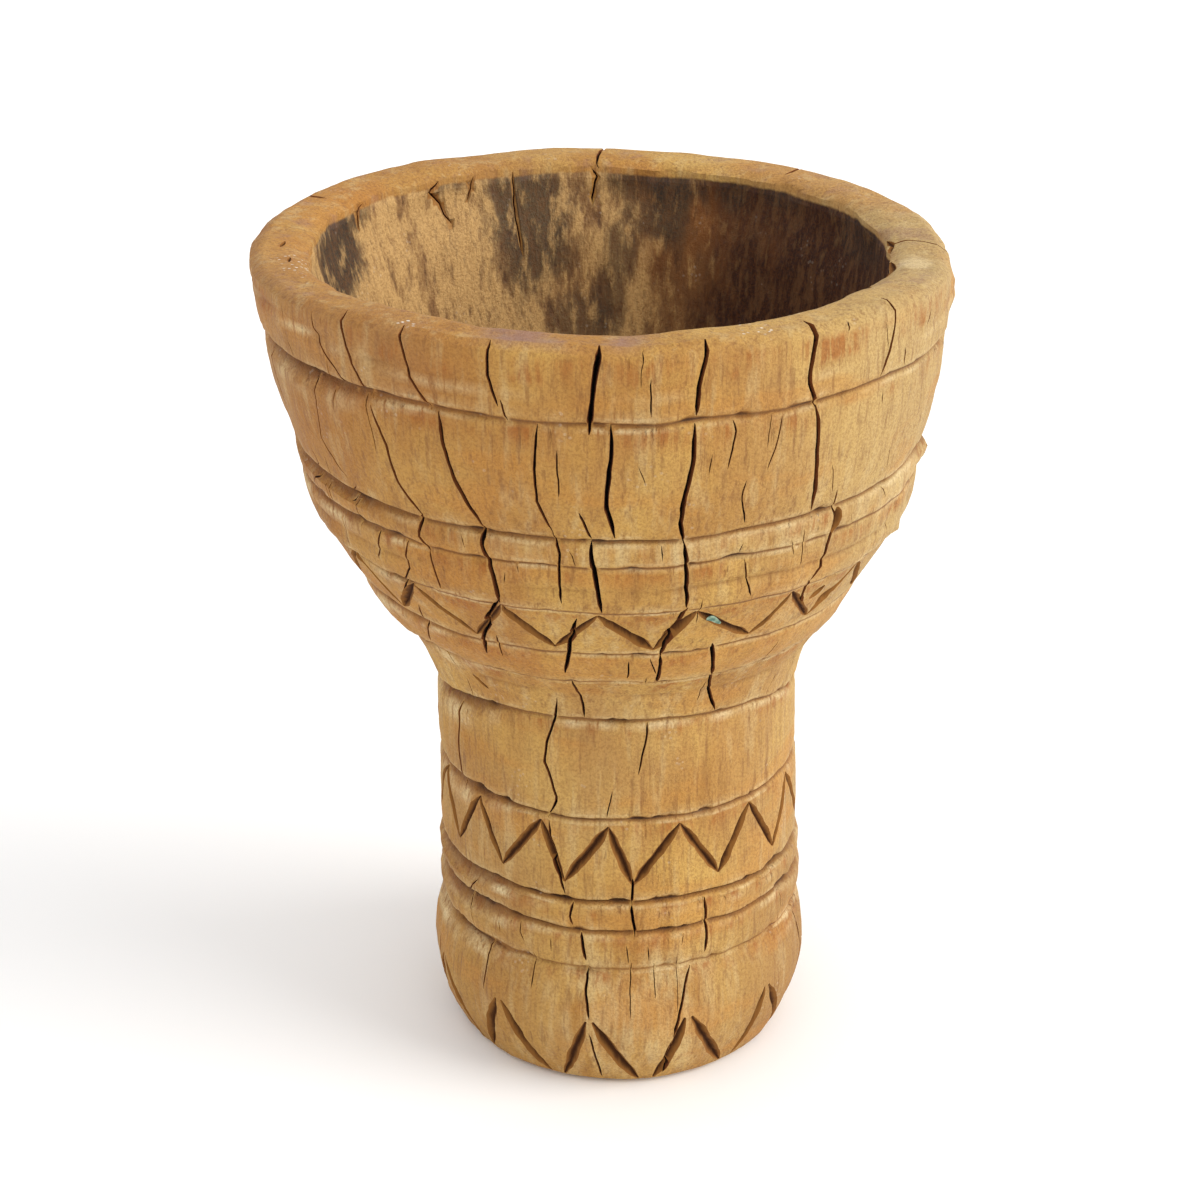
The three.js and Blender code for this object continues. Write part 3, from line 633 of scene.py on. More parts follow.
def turned_grid(tree, size):
    """A grid with a row for each point of the outline and a column for each facet, with the row's values."""
    rows = put(tree, "GeometryNodeAttributeDomainSize", {0: size["Geometry"]}).outputs["Point Count"]
    grid = put(tree, "GeometryNodeMeshGrid", {
        "Size X": 1.0, "Size Y": 1.0, "Vertices X": maths(tree, "ADD", size["Columns"], 1.0),
        "Vertices Y": rows}).outputs["Mesh"]
    here = put(tree, "GeometryNodeInputPosition").outputs[0]
    spot = put(tree, "ShaderNodeSeparateXYZ", {0: here}).outputs
    last_row = maths(tree, "SUBTRACT", rows, 1.0)
    row = maths(tree, "ROUND", product(tree, maths(tree, "ADD", spot[1], 0.5), last_row))
    turn = maths(tree, "MULTIPLY", spot[0], math.tau)

    def of_row(field, kind="FLOAT"):
        return put(tree, "GeometryNodeSampleIndex", {
            "Geometry": size["Geometry"], "Value": field, "Index": row}, data_type=kind).outputs[0]

    log = SimpleNamespace(grid=grid, sine=maths(tree, "SINE", turn), cosine=maths(tree, "COSINE", turn))
    log.radius, _, log.height = put(tree, "ShaderNodeSeparateXYZ", {0: of_row(here, "FLOAT_VECTOR")}).outputs
    for name in ROW_VALUES:
        setattr(log, name, of_row(named(tree, name)))
    log.body = point_at(tree, product(tree, log.sine, log.radius), product(tree, log.cosine, log.radius),
                        log.height)
    log.ring = point_at(tree, log.sine, log.cosine, product(tree, log.height, 12.0))
    log.wander = swing(tree, log.ring, 2.2, 3.0, seed=1.0)
    return log


def ring_cuts(tree, log, size):
    """The depth of the grooves, faint rings and chips, how far dirt and painted shade darken them, and where
    their edges are worn.
    """
    # Grooves are wide and chamfered on the left, middling behind and at the right edge, thin in front.
    left = spread(tree, log.sine, -0.42, -0.9)
    right = spread(tree, log.sine, 0.86, 1.0, 0.0, 0.55)
    behind = spread(tree, log.cosine, 0.1, -0.8, 0.0, 0.5)
    heavy = maths(tree, "ADD", maths(tree, "MAXIMUM", left, maths(tree, "MAXIMUM", right, behind)),
                  product(tree, log.wander, 0.12), clamp=True)
    chamfer = product(tree, log.reach,
                      spread(tree, heavy, 0.0, 1.0, size["Thin Chamfer"], size["Wide Chamfer"]))
    above = maths(tree, "SUBTRACT", 1.0, maths(tree, "DIVIDE", log.seam, size["Groove Above"]))
    below = maths(tree, "ADD", maths(tree, "DIVIDE", log.seam, chamfer), 1.0)
    vee = maths(tree, "MAXIMUM", 0.0, maths(tree, "MINIMUM", above, below))
    ragged = swing(tree, log.body, 60.0, 2.0, seed=2.0)
    bite = product(tree, log.groove, total(tree, spread(tree, heavy, 0.0, 1.0, 0.5, 1.85),
                                           product(tree, ragged, 0.3)))

    # The rim's faint ring climbs towards the left, where it is always seen.
    on_rim = spread(tree, log.height, 0.297, 0.2985)
    crease = total(tree, log.crease, product(tree, on_rim, spread(tree, log.sine, -0.5, -1.0), -0.006))
    line_seen = maths(tree, "MAXIMUM", spread(tree, swing(tree, log.ring, 3.5, 1.0, seed=3.0), -0.4, 0.4),
                      product(tree, on_rim, spread(tree, log.sine, -0.1, -0.35)))
    off_line = product(tree, maths(tree, "ABSOLUTE", crease), 1 / CREASE_REACH)
    line = product(tree, maths(tree, "MAXIMUM", 0.0, maths(tree, "SUBTRACT", 1.0, off_line)), line_seen)
    chips = product(tree, spread(tree, maths(tree, "ABSOLUTE", log.seam), 0.004, 0.0006),
                    spread(tree, noise(tree, log.body, 120.0, 2.0, seed=4.0), 0.52, 0.7))
    depth = total(tree, product(tree, vee, bite), product(tree, line, size["Crease Depth"]),
                  product(tree, chips, size["Chip Depth"]))

    # Painted shade with some dirt: the grooves darken most where they are wide, the faint rings and chips
    # less.
    cove = product(tree, vee, spread(tree, log.groove, 0.0, 0.0012), spread(tree, heavy, 0.0, 1.0, 0.85, 1.0))
    recess = total(tree, cove, product(tree, line, 0.45), product(tree, chips, 0.35))
    worn = product(tree, spread(tree, swing(tree, log.ring, 5.0, 3.0, 0.6, seed=12.0), -0.5, 0.7),
                   maths(tree, "SUBTRACT", 1.0, log.inside))
    edge_below = between(tree, log.seam, *(maths(tree, "MULTIPLY", chamfer, share) for share in (
        -1.9, -1.1, -0.9, -0.5)))
    edge_above = between(tree, log.seam, 0.0006, 0.0012, 0.0018, 0.003)
    edge_crease = product(tree, line_seen, between(tree, crease, -0.0026, -0.0012, -0.0008, 0.0))
    crest = product(tree, worn, total(tree, edge_below, product(tree, edge_above, 0.6), edge_crease))
    return depth, recess, crest


def surface_relief(tree, log, size):
    """How far the blade's marks, the ripples and the bumps stand out."""
    ripple = point_at(tree, product(tree, log.sine, 0.1), product(tree, log.cosine, 0.1),
                      product(tree, log.height, 0.12))
    upright = vectors(tree, "MULTIPLY", log.body, (1.0, 1.0, 0.2))
    relief = total(
        tree, product(tree, swing(tree, log.body, 40.0, 2.0, seed=5.0), size["Knife Marks"]),
        product(tree, swing(tree, log.body, 170.0, 2.0, 0.6, seed=6.0), size["Fine Marks"]),
        product(tree, swing(tree, log.body, 9.0, 1.0, seed=7.0), size["Out Of Round"]),
        product(tree, swing(tree, ripple, 90.0, 2.0, seed=8.0), size["Flutes"]),
        product(tree, log.mouth, swing(tree, log.body, 55.0, 3.0, 0.6, seed=9.0), size["Mouth Chips"]),
        product(tree, log.inside, swing(tree, upright, 160.0, 2.0, seed=16.0), size["Bowl Marks"]))
    relief = product(tree, relief, spread(tree, log.radius, 0.0, 0.04))
    for angle, up, reach, stand in BUMPS:
        turned, index = math.radians(angle), next(i for i in range(len(BANDS)) if FLOORS[i + 1] > up)
        out = band_radius(index + (up - FLOORS[index]) / BANDS[index]["height"])
        middle = point_at(tree, out * math.sin(turned) * MM, out * math.cos(turned) * MM, up * MM)
        away = put(tree, "ShaderNodeVectorMath", {0: log.body, 1: middle},
                   operation="DISTANCE").outputs["Value"]
        relief = total(tree, relief, spread(tree, away, reach * MM, 0.0, 0.0, stand * MM))
    bulge = product(tree, spread(tree, log.cosine, 0.1, -0.7), spread(tree, log.height, 0.285, 0.31),
                    size["Oval"])
    return total(tree, relief, bulge)


def log_tree(sizes, material):
    """Turns the outline into the log, then grooves and roughens it as a knife and the weather did."""
    tree, entry, leave = new_tree("Turned log", sizes)
    size = {socket.name: socket for socket in entry.outputs}
    log = turned_grid(tree, size)
    depth, recess, crest = ring_cuts(tree, log, size)
    radius = total(tree, log.radius, surface_relief(tree, log, size), product(tree, depth, -1.0))
    free = product(tree, spread(tree, log.height, 0.004, 0.03), spread(tree, radius, 0.0, 0.05))
    raised = product(tree, spread(tree, log.height, RISE_START * MM, RISE_END * MM),
                     spread(tree, log.cosine, 0.1, 0.9), size["Front Rise"])
    height = total(tree, log.height, raised, product(tree, log.wander, free, size["Waviness"]),
                   product(tree, log.tilt, spread(tree, log.cosine, 1.0, 0.2)),
                   product(tree, log.lip, swing(tree, log.body, 50.0, 3.0, seed=10.0), size["Lip Wear"]))
    placed = point_at(tree, total(tree, product(tree, log.sine, radius), log.shift),
                      product(tree, log.cosine, radius, -1.0), height)
    patchy = spread(tree, swing(tree, log.ring, 7.0, 3.0, 0.6, seed=13.0), -0.35, 0.5)
    stored = log.grid
    for name, value in zip(STORED, (recess, log.inside, log.lip, crest, product(tree, log.fringe, patchy))):
        stored = keep(tree, stored, name, value)
    shaped = put(tree, "GeometryNodeSetPosition", {"Geometry": stored, "Position": placed}).outputs[0]
    welded = put(tree, "GeometryNodeMergeByDistance", {"Geometry": shaped, "Distance": 0.00001}).outputs[0]
    end_tree(tree, leave, welded, material)
    return tree


# ---- Knife cuts and cracks ----

def cut_tree(name, sizes, log, material):
    """Sweeps a closed V along each path, sunk from the log's own surface, with ragged sides and thin ends."""
    tree, entry, leave = new_tree(name, sizes)
    size = {socket.name: socket for socket in entry.outputs}
    curve = put(tree, "GeometryNodeMeshToCurve", {"Mesh": size["Geometry"]}).outputs[0]
    curve = put(tree, "GeometryNodeResampleCurve", {"Curve": curve, "Length": size["Step"]},
                mode="LENGTH").outputs[0]
    here = put(tree, "GeometryNodeInputPosition").outputs[0]
    ahead = put(tree, "GeometryNodeInputTangent").outputs[0]
    outward = vectors(tree, "NORMALIZE", named(tree, "outward", "FLOAT_VECTOR"))
    side = vectors(tree, "NORMALIZE", vectors(tree, "CROSS_PRODUCT", ahead, outward))
    along = put(tree, "GeometryNodeSplineParameter").outputs["Factor"]
    to_end = maths(tree, "MINIMUM", along, maths(tree, "SUBTRACT", 1.0, along))
    drift = product(tree, swing(tree, here, 70.0, 4.0, 0.55, seed=size["Seed"]), size["Wander"],
                    spread(tree, to_end, 0.0, 0.12))
    curve = put(tree, "GeometryNodeSetPosition", {
        "Geometry": curve, "Offset": lengthen(tree, side, drift)}).outputs[0]
    target = put(tree, "GeometryNodeObjectInfo", {"Object": log},
                 transform_space="RELATIVE").outputs["Geometry"]
    nearest = put(tree, "GeometryNodeProximity", {"Geometry": target, "Sample Position": here},
                  target_element="FACES").outputs["Position"]
    curve = put(tree, "GeometryNodeSetPosition", {"Geometry": curve, "Position": nearest}).outputs[0]
    torn = swing(tree, here, 110.0, 3.0, 0.6, seed=total(tree, size["Seed"], 7.0))
    swell = maths(tree, "ADD", 1.0, product(tree, torn, size["Raggedness"]))
    from_end = maths(tree, "ADD", size["Blunt"], product(tree, to_end, size["Taper"]))
    thin = maths(tree, "MINIMUM", 1.0, from_end)
    width = product(tree, named(tree, "width"), size["Width Scale"], swell, thin)
    curve = keep(tree, curve, "spine", here, "FLOAT_VECTOR")
    curve = keep(tree, curve, "sideways", side, "FLOAT_VECTOR")
    curve = keep(tree, curve, "wide", width)
    section = put(tree, "GeometryNodeCurvePrimitiveCircle", {"Resolution": 3, "Radius": 0.0001}).outputs[0]
    swept = put(tree, "GeometryNodeCurveToMesh", {
        "Curve": curve, "Profile Curve": section, "Fill Caps": True}).outputs[0]
    corner = maths(tree, "MODULO", put(tree, "GeometryNodeInputIndex").outputs[0], 3.0)
    tip = maths(tree, "GREATER_THAN", corner, 1.5)
    top = maths(tree, "SUBTRACT", 1.0, tip)
    wide = named(tree, "wide")
    deep = product(tree, wide, size["Depth"])
    half = product(tree, wide, 0.5, maths(tree, "DIVIDE", total(tree, deep, size["Rise"]), deep))
    across = product(tree, top, half, total(tree, product(tree, corner, 2.0), -1.0))
    up = total(tree, product(tree, top, size["Rise"]), product(tree, tip, deep, -1.0))
    aside = lengthen(tree, named(tree, "sideways", "FLOAT_VECTOR"), across)
    from_spine = vectors(tree, "ADD", lengthen(tree, outward, up), aside)
    corner_place = vectors(tree, "ADD", named(tree, "spine", "FLOAT_VECTOR"), from_spine)
    swept = keep(tree, swept, "tip", tip)
    shaped = put(tree, "GeometryNodeSetPosition", {"Geometry": swept, "Position": corner_place}).outputs[0]
    end_tree(tree, leave, shaped, material)
    return tree


def in_groups(cuts):
    """Sorts cuts into groups whose members stay clear of each other."""
    groups = []
    for width, points in cuts:
        places = [on_log(angle, level)[0] for angle, level in points]
        box = [(min(p[i] for p in places) - CLEAR_OF_EACH_OTHER, max(p[i] for p in places)) for i in range(3)]
        for group in groups:
            if not any(all(a[0] < b[1] and b[0] < a[1] for a, b in zip(box, other)) for _, _, other in group):
                group.append((width, points, box))
                break
        else:
            groups.append([(width, points, box)])
    return [[(width, points) for width, points, _ in group] for group in groups]


def cutters(name, cuts, sizes, log, material):
    """One cutting object for each group of cuts."""
    tree = cut_tree(name, sizes, log, material)
    made = []
    for group in in_groups(cuts):
        vertices, edges, outward, widths = [], [], [], []
        for width, points in group:
            edges += [(len(vertices) + k, len(vertices) + k + 1) for k in range(len(points) - 1)]
            for angle, level in points:
                point, out = on_log(angle, level)
                vertices.append(point * MM)
                outward.append(out)
                widths.append(width * MM)
        thing = add_object(name, vertices, edges=edges)
        add_values(thing.data, "outward", outward)
        add_values(thing.data, "width", widths)
        grow(thing, tree, sizes)
        settle(thing)
        made.append(thing)
    return made


def zigzag(row):
    """Legs of a row that runs round without a break, as (width, ends)."""
    chance = random.Random(row["seed"])
    angles = []
    for i, top in enumerate(row["tops"]):
        angles += [top] + list(row["bottoms"][i:i + 1])
    free = 2 * row["count"] - len(angles) + 1
    stride = (360 + angles[0] - angles[-1]) / free
    angles += [angles[-1] + stride * (k + 1) for k in range(free)]
    ends = [(angle, row["band"] + (row["low"] if i % 2 else row["high"])) for i, angle in enumerate(angles)]
    widths = list(row["front"]) + [row["width"] * chance.uniform(*row["vary"]) for _ in angles]
    return list(zip(widths, zip(ends[:-1], ends[1:])))


def chevrons(row):
    """Legs of separate chevrons, as (width, ends)."""
    chance = random.Random(row["seed"])
    legs = []
    for i in range(row["count"]):
        angle = row["first"] + 360 * i / row["count"]
        for reach in (-row["left"], row["right"]):
            ends = ((angle + reach * APEX_SHARE, row["band"] + row["high"]),
                    (angle + reach, row["band"] + row["low"]))
            legs.append((row["width"] * chance.uniform(*row["vary"]), ends))
    return legs


def short_checks(count, seed):
    """Small splits along the grain, most of them across the beads and below the bowl."""
    chance = random.Random(seed)
    checks = []
    for _ in range(count):
        level = chance.choice(CHECKED_BANDS) + chance.random()
        angle = chance.uniform(-180, 180)
        reach = chance.uniform(*CHECK_LENGTH) / BANDS[int(level)]["height"]
        low = max(level - reach, 0.05)
        slant = chance.uniform(-1.2, 1.2)
        checks.append((chance.uniform(*CHECK_WIDTH), ((angle, level), (angle + slant, low))))
    return checks


def cut_away(body, tools):
    for tool in tools:
        modifier = body.modifiers.new(tool.name, "BOOLEAN")
        modifier.operation = "DIFFERENCE"
        modifier.solver = "MANIFOLD"
        modifier.material_mode = "TRANSFER"
        modifier.object = tool
        settle(body)
        bpy.data.objects.remove(tool, do_unlink=True)


def keep_largest(mesh):
    """Drops crumbs that the cuts left loose or shut inside."""
    shape = bmesh.new()
    shape.from_mesh(mesh)
    unseen = set(shape.verts)
    islands = []
    while unseen:
        stack = [unseen.pop()]
        island = list(stack)
        while stack:
            for edge in stack.pop().link_edges:
                for other in edge.verts:
                    if other in unseen:
                        unseen.remove(other)
                        stack.append(other)
                        island.append(other)
        islands.append(island)
    islands.sort(key=len)
    for island in islands[:-1]:
        bmesh.ops.delete(shape, geom=island, context="VERTS")
    shape.to_mesh(mesh)
    shape.free()


# ---- Finishes ----

def new_finish(name):
    material = bpy.data.materials.new(name)
    material.use_nodes = True
    tree = material.node_tree
    tree.nodes.clear()
    shader = tree.nodes.new("ShaderNodeBsdfPrincipled")
    put(tree, "ShaderNodeOutputMaterial", {"Surface": shader.outputs[0]})
    return material, tree, shader


def roughen(tree, shader, relief, strength, depth):
    bump = put(tree, "ShaderNodeBump", {"Strength": strength, "Distance": depth, "Height": relief})
    tree.links.new(bump.outputs[0], shader.inputs["Normal"])


def mix(tree, share, under, over):
    node = put(tree, "ShaderNodeMix", {"Factor": share}, data_type="RGBA")
    for socket, value in ((node.inputs[6], under), (node.inputs[7], over)):
        if isinstance(value, bpy.types.NodeSocket):
            tree.links.new(value, socket)
        else:
            socket.default_value = (*value, 1.0)
    return node.outputs[2]


def grain(tree, place, across, along, detail, roughness, seed):
    """A pattern stretched up and down the log, with the fibres."""
    stretched = put(tree, "ShaderNodeMapping", {"Vector": place, "Scale": (across, across, along)}).outputs[0]
    return noise(tree, stretched, 1.0, detail, roughness, seed=seed)


def distance_in(tree, place, middle, reach):
    """How far a place is from the middle, counted in reaches along each axis."""
    apart = vectors(tree, "DIVIDE", vectors(tree, "SUBTRACT", place, middle), reach)
    return put(tree, "ShaderNodeVectorMath", {0: apart}, operation="LENGTH").outputs["Value"]


def value_of(tree, name):
    return put(tree, "ShaderNodeAttribute", attribute_type="GEOMETRY", attribute_name=name).outputs["Fac"]


def coats(tree, colour, *layers):
    """Lays colours over one another, each as a share and its colour."""
    for share, over in layers:
        colour = mix(tree, share, colour, over)
    return colour


def look_of(tree):
    """The places, stored values and patterns that the wood's colour is made from."""
    place = put(tree, "ShaderNodeTexCoord").outputs["Object"]
    look = SimpleNamespace(place=place, broad=noise(tree, place, 11.0, 3.0, seed=4.0),
                           grit=noise(tree, place, 950.0, 2.0, 0.7, seed=5.0))
    look.x, look.y, look.z = put(tree, "ShaderNodeSeparateXYZ", {0: place}).outputs
    for name in STORED:
        setattr(look, name, value_of(tree, name))
    for name, pattern in PATTERNS.items():
        setattr(look, name, grain(tree, place, *pattern))
    torn = product(tree, spread(tree, look.tear, 0.6, 0.68),
                   spread(tree, noise(tree, place, 34.0, 2.0, seed=7.0), 0.45, 0.6))
    look.torn = product(tree, torn, total(tree, 0.25, look.fringe, look.crest))
    look.uneven = maths(tree, "SUBTRACT", look.gouged, 0.5)
    return look


def outer_wood(tree, look, colours):
    """Ochre wood: pinkish with painted shade on the left, painted light on the right, painted shade low on
    the foot, brown with dirt and painted shade in the grooves, pale on worn edges.
    """
    x, z = look.x, look.z
    # Pinkish wood on the left, partly painted shade on the side turned from the lamp.
    rosy = product(tree, spread(tree, x, 0.045, -0.07), spread(tree, look.broad, 0.3, 0.56),
                   spread(tree, z, 0.16, 0.25, 0.35, 1.0), spread(tree, look.lip, 0.0, 1.0, 0.85, 0.5))
    # Painted light: the right side, which faces the lamp, is made paler and creamier.
    lit_side_share = maths(tree, "ADD", spread(tree, x, 0.02, 0.115, 0.0, 0.8),
                   product(tree, spread(tree, look.broad, 0.5, 0.68), 0.3), clamp=True)
    pale_foot = product(tree, between(tree, z, *PALE_FOOT_UP), between(tree, x, *PALE_FOOT_ACROSS))
    # Painted shade low on the foot, fullest on the right and weaker on the left.
    foot_shade = product(tree, spread(tree, z, 0.12, 0.05), maths(
        tree, "MAXIMUM", spread(tree, x, 0.03, 0.065), spread(tree, x, -0.005, -0.03, 0.0, 0.55)))
    beads = product(tree, between(tree, z, *PALE_BEAD_UP), spread(tree, x, -0.06, 0.0),
                    spread(tree, look.broad, 0.36, 0.56, 0.55, 1.0))
    shoulder = between(tree, z, *AMBER_SHOULDER_UP)
    # Dirt and painted shade in the deepest grooves.
    dirt_and_shade = product(tree, spread(tree, look.recess, 0.68, 1.0),
                   spread(tree, look.blotch, 0.32, 0.55, 0.45, 0.9))
    rust = spread(tree, spread(tree, look.streaks, 0.42, 0.6), 0.0, 1.0, 0.25, 0.85)
    return coats(
        tree, mix(tree, spread(tree, look.blotch, 0.38, 0.64), colours.ochre, colours.honey),
        (rosy, colours.rosy),
        (lit_side_share, colours.lit_side),
        (product(tree, pale_foot, spread(tree, look.strand, 0.35, 0.6), 0.5), colours.cream),
        (product(tree, foot_shade, 0.6), colours.foot_shade),
        (spread(tree, look.swath, 0.5, 0.64, 0.0, 0.4), colours.amber),
        (spread(tree, look.strand, 0.5, 0.66, 0.0, 0.32), colours.cream),
        (spread(tree, look.strand, 0.46, 0.3, 0.0, 0.26), colours.brown),
        (spread(tree, look.fibre, 0.5, 0.33, 0.0, 0.45), colours.brown),
        (product(tree, look.torn, 0.7), colours.brown),
        (product(tree, beads, spread(tree, look.strand, 0.35, 0.62, 0.0, 0.7)), colours.cream),
        (product(tree, shoulder, spread(tree, look.strand, 0.3, 0.6, 0.1, 0.45)), colours.amber),
        (product(tree, look.fringe, rust), colours.rust),
        # Painted shade and dirt in the grooves, faint rings and chips.
        (spread(tree, look.recess, 0.1, 0.75, 0.0, 0.72), colours.brown),
        (dirt_and_shade, colours.dark),
        (product(tree, look.crest, spread(tree, look.fibre, 0.3, 0.55), 0.8), colours.crest))


def bowl_wood(tree, look, colours):
    """Worn tan wood: reddish and dark on the right from oil and painted shade, a little paler on the left
    from painted light, blackened in patches and gouged upright.
    """
    # The clean share rises a little on the left wall, as painted light.
    clean = total(tree, look.stain, product(tree, look.uneven, 0.8),
                  spread(tree, look.x, -0.005, -0.05, 0.0, 0.1))
    # Painted shade with stain: the bowl's right wall, turned from the lamp, and its lower right turn reddish
    # and near black.
    rightward = total(tree, look.x, product(tree, maths(tree, "SUBTRACT", look.soot, 0.5), 0.11))
    rust_and_shade = product(tree, spread(tree, rightward, 0.005, 0.038), spread(tree, clean, 0.72, 0.5, 0.45, 1.0))
    low_down = product(tree, spread(tree, look.z, 0.3, 0.25, 0.0, 0.6), spread(tree, rightward, 0.0, 0.035))
    oil_and_shade = maths(tree, "ADD", spread(tree, rightward, 0.01, 0.075), low_down, clamp=True)
    soaked_and_shaded = spread(tree, total(tree, clean, product(tree, oil_and_shade, -0.4)), 0.62, 0.36)
    bowl = coats(
        tree, mix(tree, spread(tree, clean, 0.34, 0.6), colours.bowl_brown, colours.bowl_tan),
        (rust_and_shade, colours.bowl_rust),
        (product(tree, oil_and_shade, soaked_and_shaded), colours.bowl_red))
    for middle, reach, strength in SOOT_SPOTS:
        ragged = total(tree, distance_in(tree, look.place, middle, reach),
                       product(tree, maths(tree, "SUBTRACT", look.soot, 0.5), 2.4),
                       product(tree, look.uneven, 1.5))
        shown = product(tree, spread(tree, ragged, 1.5, 0.65),
                        spread(tree, look.gouged, 0.62, 0.46, 0.62, 1.0), strength)
        bowl = mix(tree, shown, bowl, colours.soot)
    return coats(
        tree, bowl,
        (spread(tree, look.gouged, 0.52, 0.38, 0.0, 0.4), colours.bowl_brown),
        (spread(tree, look.gouged, 0.42, 0.32, 0.0, 0.5), colours.bowl_red),
        # Pale gouge streaks, stronger on the left wall as painted light.
        (product(tree, spread(tree, look.gouged, 0.54, 0.66), spread(tree, look.x, 0.03, -0.03, 0.15, 0.5)),
         colours.bowl_tan),
        (spread(tree, look.fibre, 0.46, 0.34, 0.0, 0.35), colours.bowl_red))


def lip_stains(tree, look, colour, colours):
    """Purplish stains, white specks and one pale chipped patch along the lip."""
    clouds = spread(tree, noise(tree, look.place, 70.0, 3.0, 0.6, seed=10.0), 0.53, 0.64)
    aside = maths(tree, "ABSOLUTE", total(tree, look.x, 0.014))
    wine = product(tree, look.lip, spread(tree, aside, 0.034, 0.018), spread(tree, look.y, -0.085, -0.095))
    dots = put(tree, "ShaderNodeTexVoronoi", {"Vector": look.place, "Scale": 420.0}).outputs["Distance"]
    in_front = product(tree, look.lip, spread(tree, look.y, 0.04, -0.04, 0.2, 1.0))
    specks = product(tree, spread(tree, dots, 0.3, 0.18),
                     spread(tree, noise(tree, look.place, 60.0, 2.0, seed=11.0), 0.6, 0.66),
                     maths(tree, "MAXIMUM", in_front, 0.16))
    away = distance_in(tree, look.place, CHIPPED_PLACE, CHIPPED_REACH)
    chipped = spread(tree, total(tree, away, product(tree, look.soot, 2.4)), 2.3, 1.5)
    return coats(
        tree, colour,
        (product(tree, look.lip, clouds, 0.3), colours.plum),
        (product(tree, wine, spread(tree, look.blotch, 0.38, 0.55), 0.75), colours.plum),
        (product(tree, specks, 0.7), colours.speck),
        (product(tree, look.lip, chipped, 0.6), colours.crest))


def wood_finish(colours):
    """Dry carved wood, stained in the bowl, with painted shade and painted light in its colour."""
    material, tree, shader = new_finish("carved_wood")
    look = look_of(tree)
    stained = spread(tree, total(tree, look.inside, product(tree, look.uneven, 0.4)), 0.45, 0.7)
    colour = mix(tree, stained, outer_wood(tree, look, colours), bowl_wood(tree, look, colours))
    colour = lip_stains(tree, look, colour, colours)
    colour = mix(tree, spread(tree, look.grit, 0.35, 0.6, 0.32, 0.0), colour, colours.brown)
    tree.links.new(colour, shader.inputs["Base Color"])
    tree.links.new(spread(tree, look.fibre, 0.3, 0.7, 0.66, 0.86), shader.inputs["Roughness"])
    shader.inputs["Specular IOR Level"].default_value = 0.32
    relief = total(
        tree, product(tree, look.fibre, 0.5), product(tree, look.strand, 0.35),
        product(tree, look.torn, -0.7), product(tree, look.grit, 0.5), product(tree, look.blotch, 0.8),
        product(tree, look.inside, look.stain, 2.0), product(tree, look.inside, look.gouged, 1.6))
    roughen(tree, shader, relief, 0.7, 0.0015)
    return material


def cut_finish(name, dark, light, reach):
    """Bare wood inside a cut, streaked along the grain, with painted shade darkening it towards the bottom.
    """
    material, tree, shader = new_finish(name)
    place = put(tree, "ShaderNodeTexCoord").outputs["Object"]
    streak = grain(tree, place, 420.0, 70.0, 5.0, 0.65, seed=12.0)
    # Painted shade: the colour goes from the light one to the dark one towards the cut's bottom.
    depth = total(tree, value_of(tree, "tip"), product(tree, maths(tree, "SUBTRACT", streak, 0.5), 1.3))
    tree.links.new(mix(tree, spread(tree, depth, *reach), light, dark), shader.inputs["Base Color"])
    shader.inputs["Roughness"].default_value = 0.9
    shader.inputs["Specular IOR Level"].default_value = 0.2
    roughen(tree, shader, streak, 0.5, 0.0008)
    return material


def flake_finish(colours):
    material, tree, shader = new_finish("pale_flake")
    place = put(tree, "ShaderNodeTexCoord").outputs["Object"]
    cloud = noise(tree, place, 600.0, 3.0, seed=13.0)
    tree.links.new(mix(tree, spread(tree, cloud, 0.36, 0.62), colours.flake, colours.flake_edge),
                   shader.inputs["Base Color"])
    shader.inputs["Roughness"].default_value = 0.55
    roughen(tree, shader, cloud, 0.5, 0.0004)
    return material


def floor_finish():
    material, tree, shader = new_finish("pale_floor")
    shader.inputs["Base Color"].default_value = (0.95, 0.95, 0.95, 1.0)
    shader.inputs["Roughness"].default_value = 0.9
    shader.inputs["Specular IOR Level"].default_value = 0.1
    return material


# ---- Settings ----

def length(name, description, default, most=0.02):
    return FloatProperty(name=name, description=description, default=default, min=0.0, max=most,
                         subtype="DISTANCE", unit="LENGTH", precision=4)


def paint(name, description, code):
    """A colour setting from a web colour such as bb8e50."""
    parts = [int(code[i:i + 2], 16) / 255 for i in (0, 2, 4)]
    default = [c / 12.92 if c < 0.04045 else ((c + 0.055) / 1.055) ** 2.4 for c in parts]
    return FloatVectorProperty(name=name, description=description, default=default, size=3, min=0.0, max=1.0,
                               subtype="COLOR")


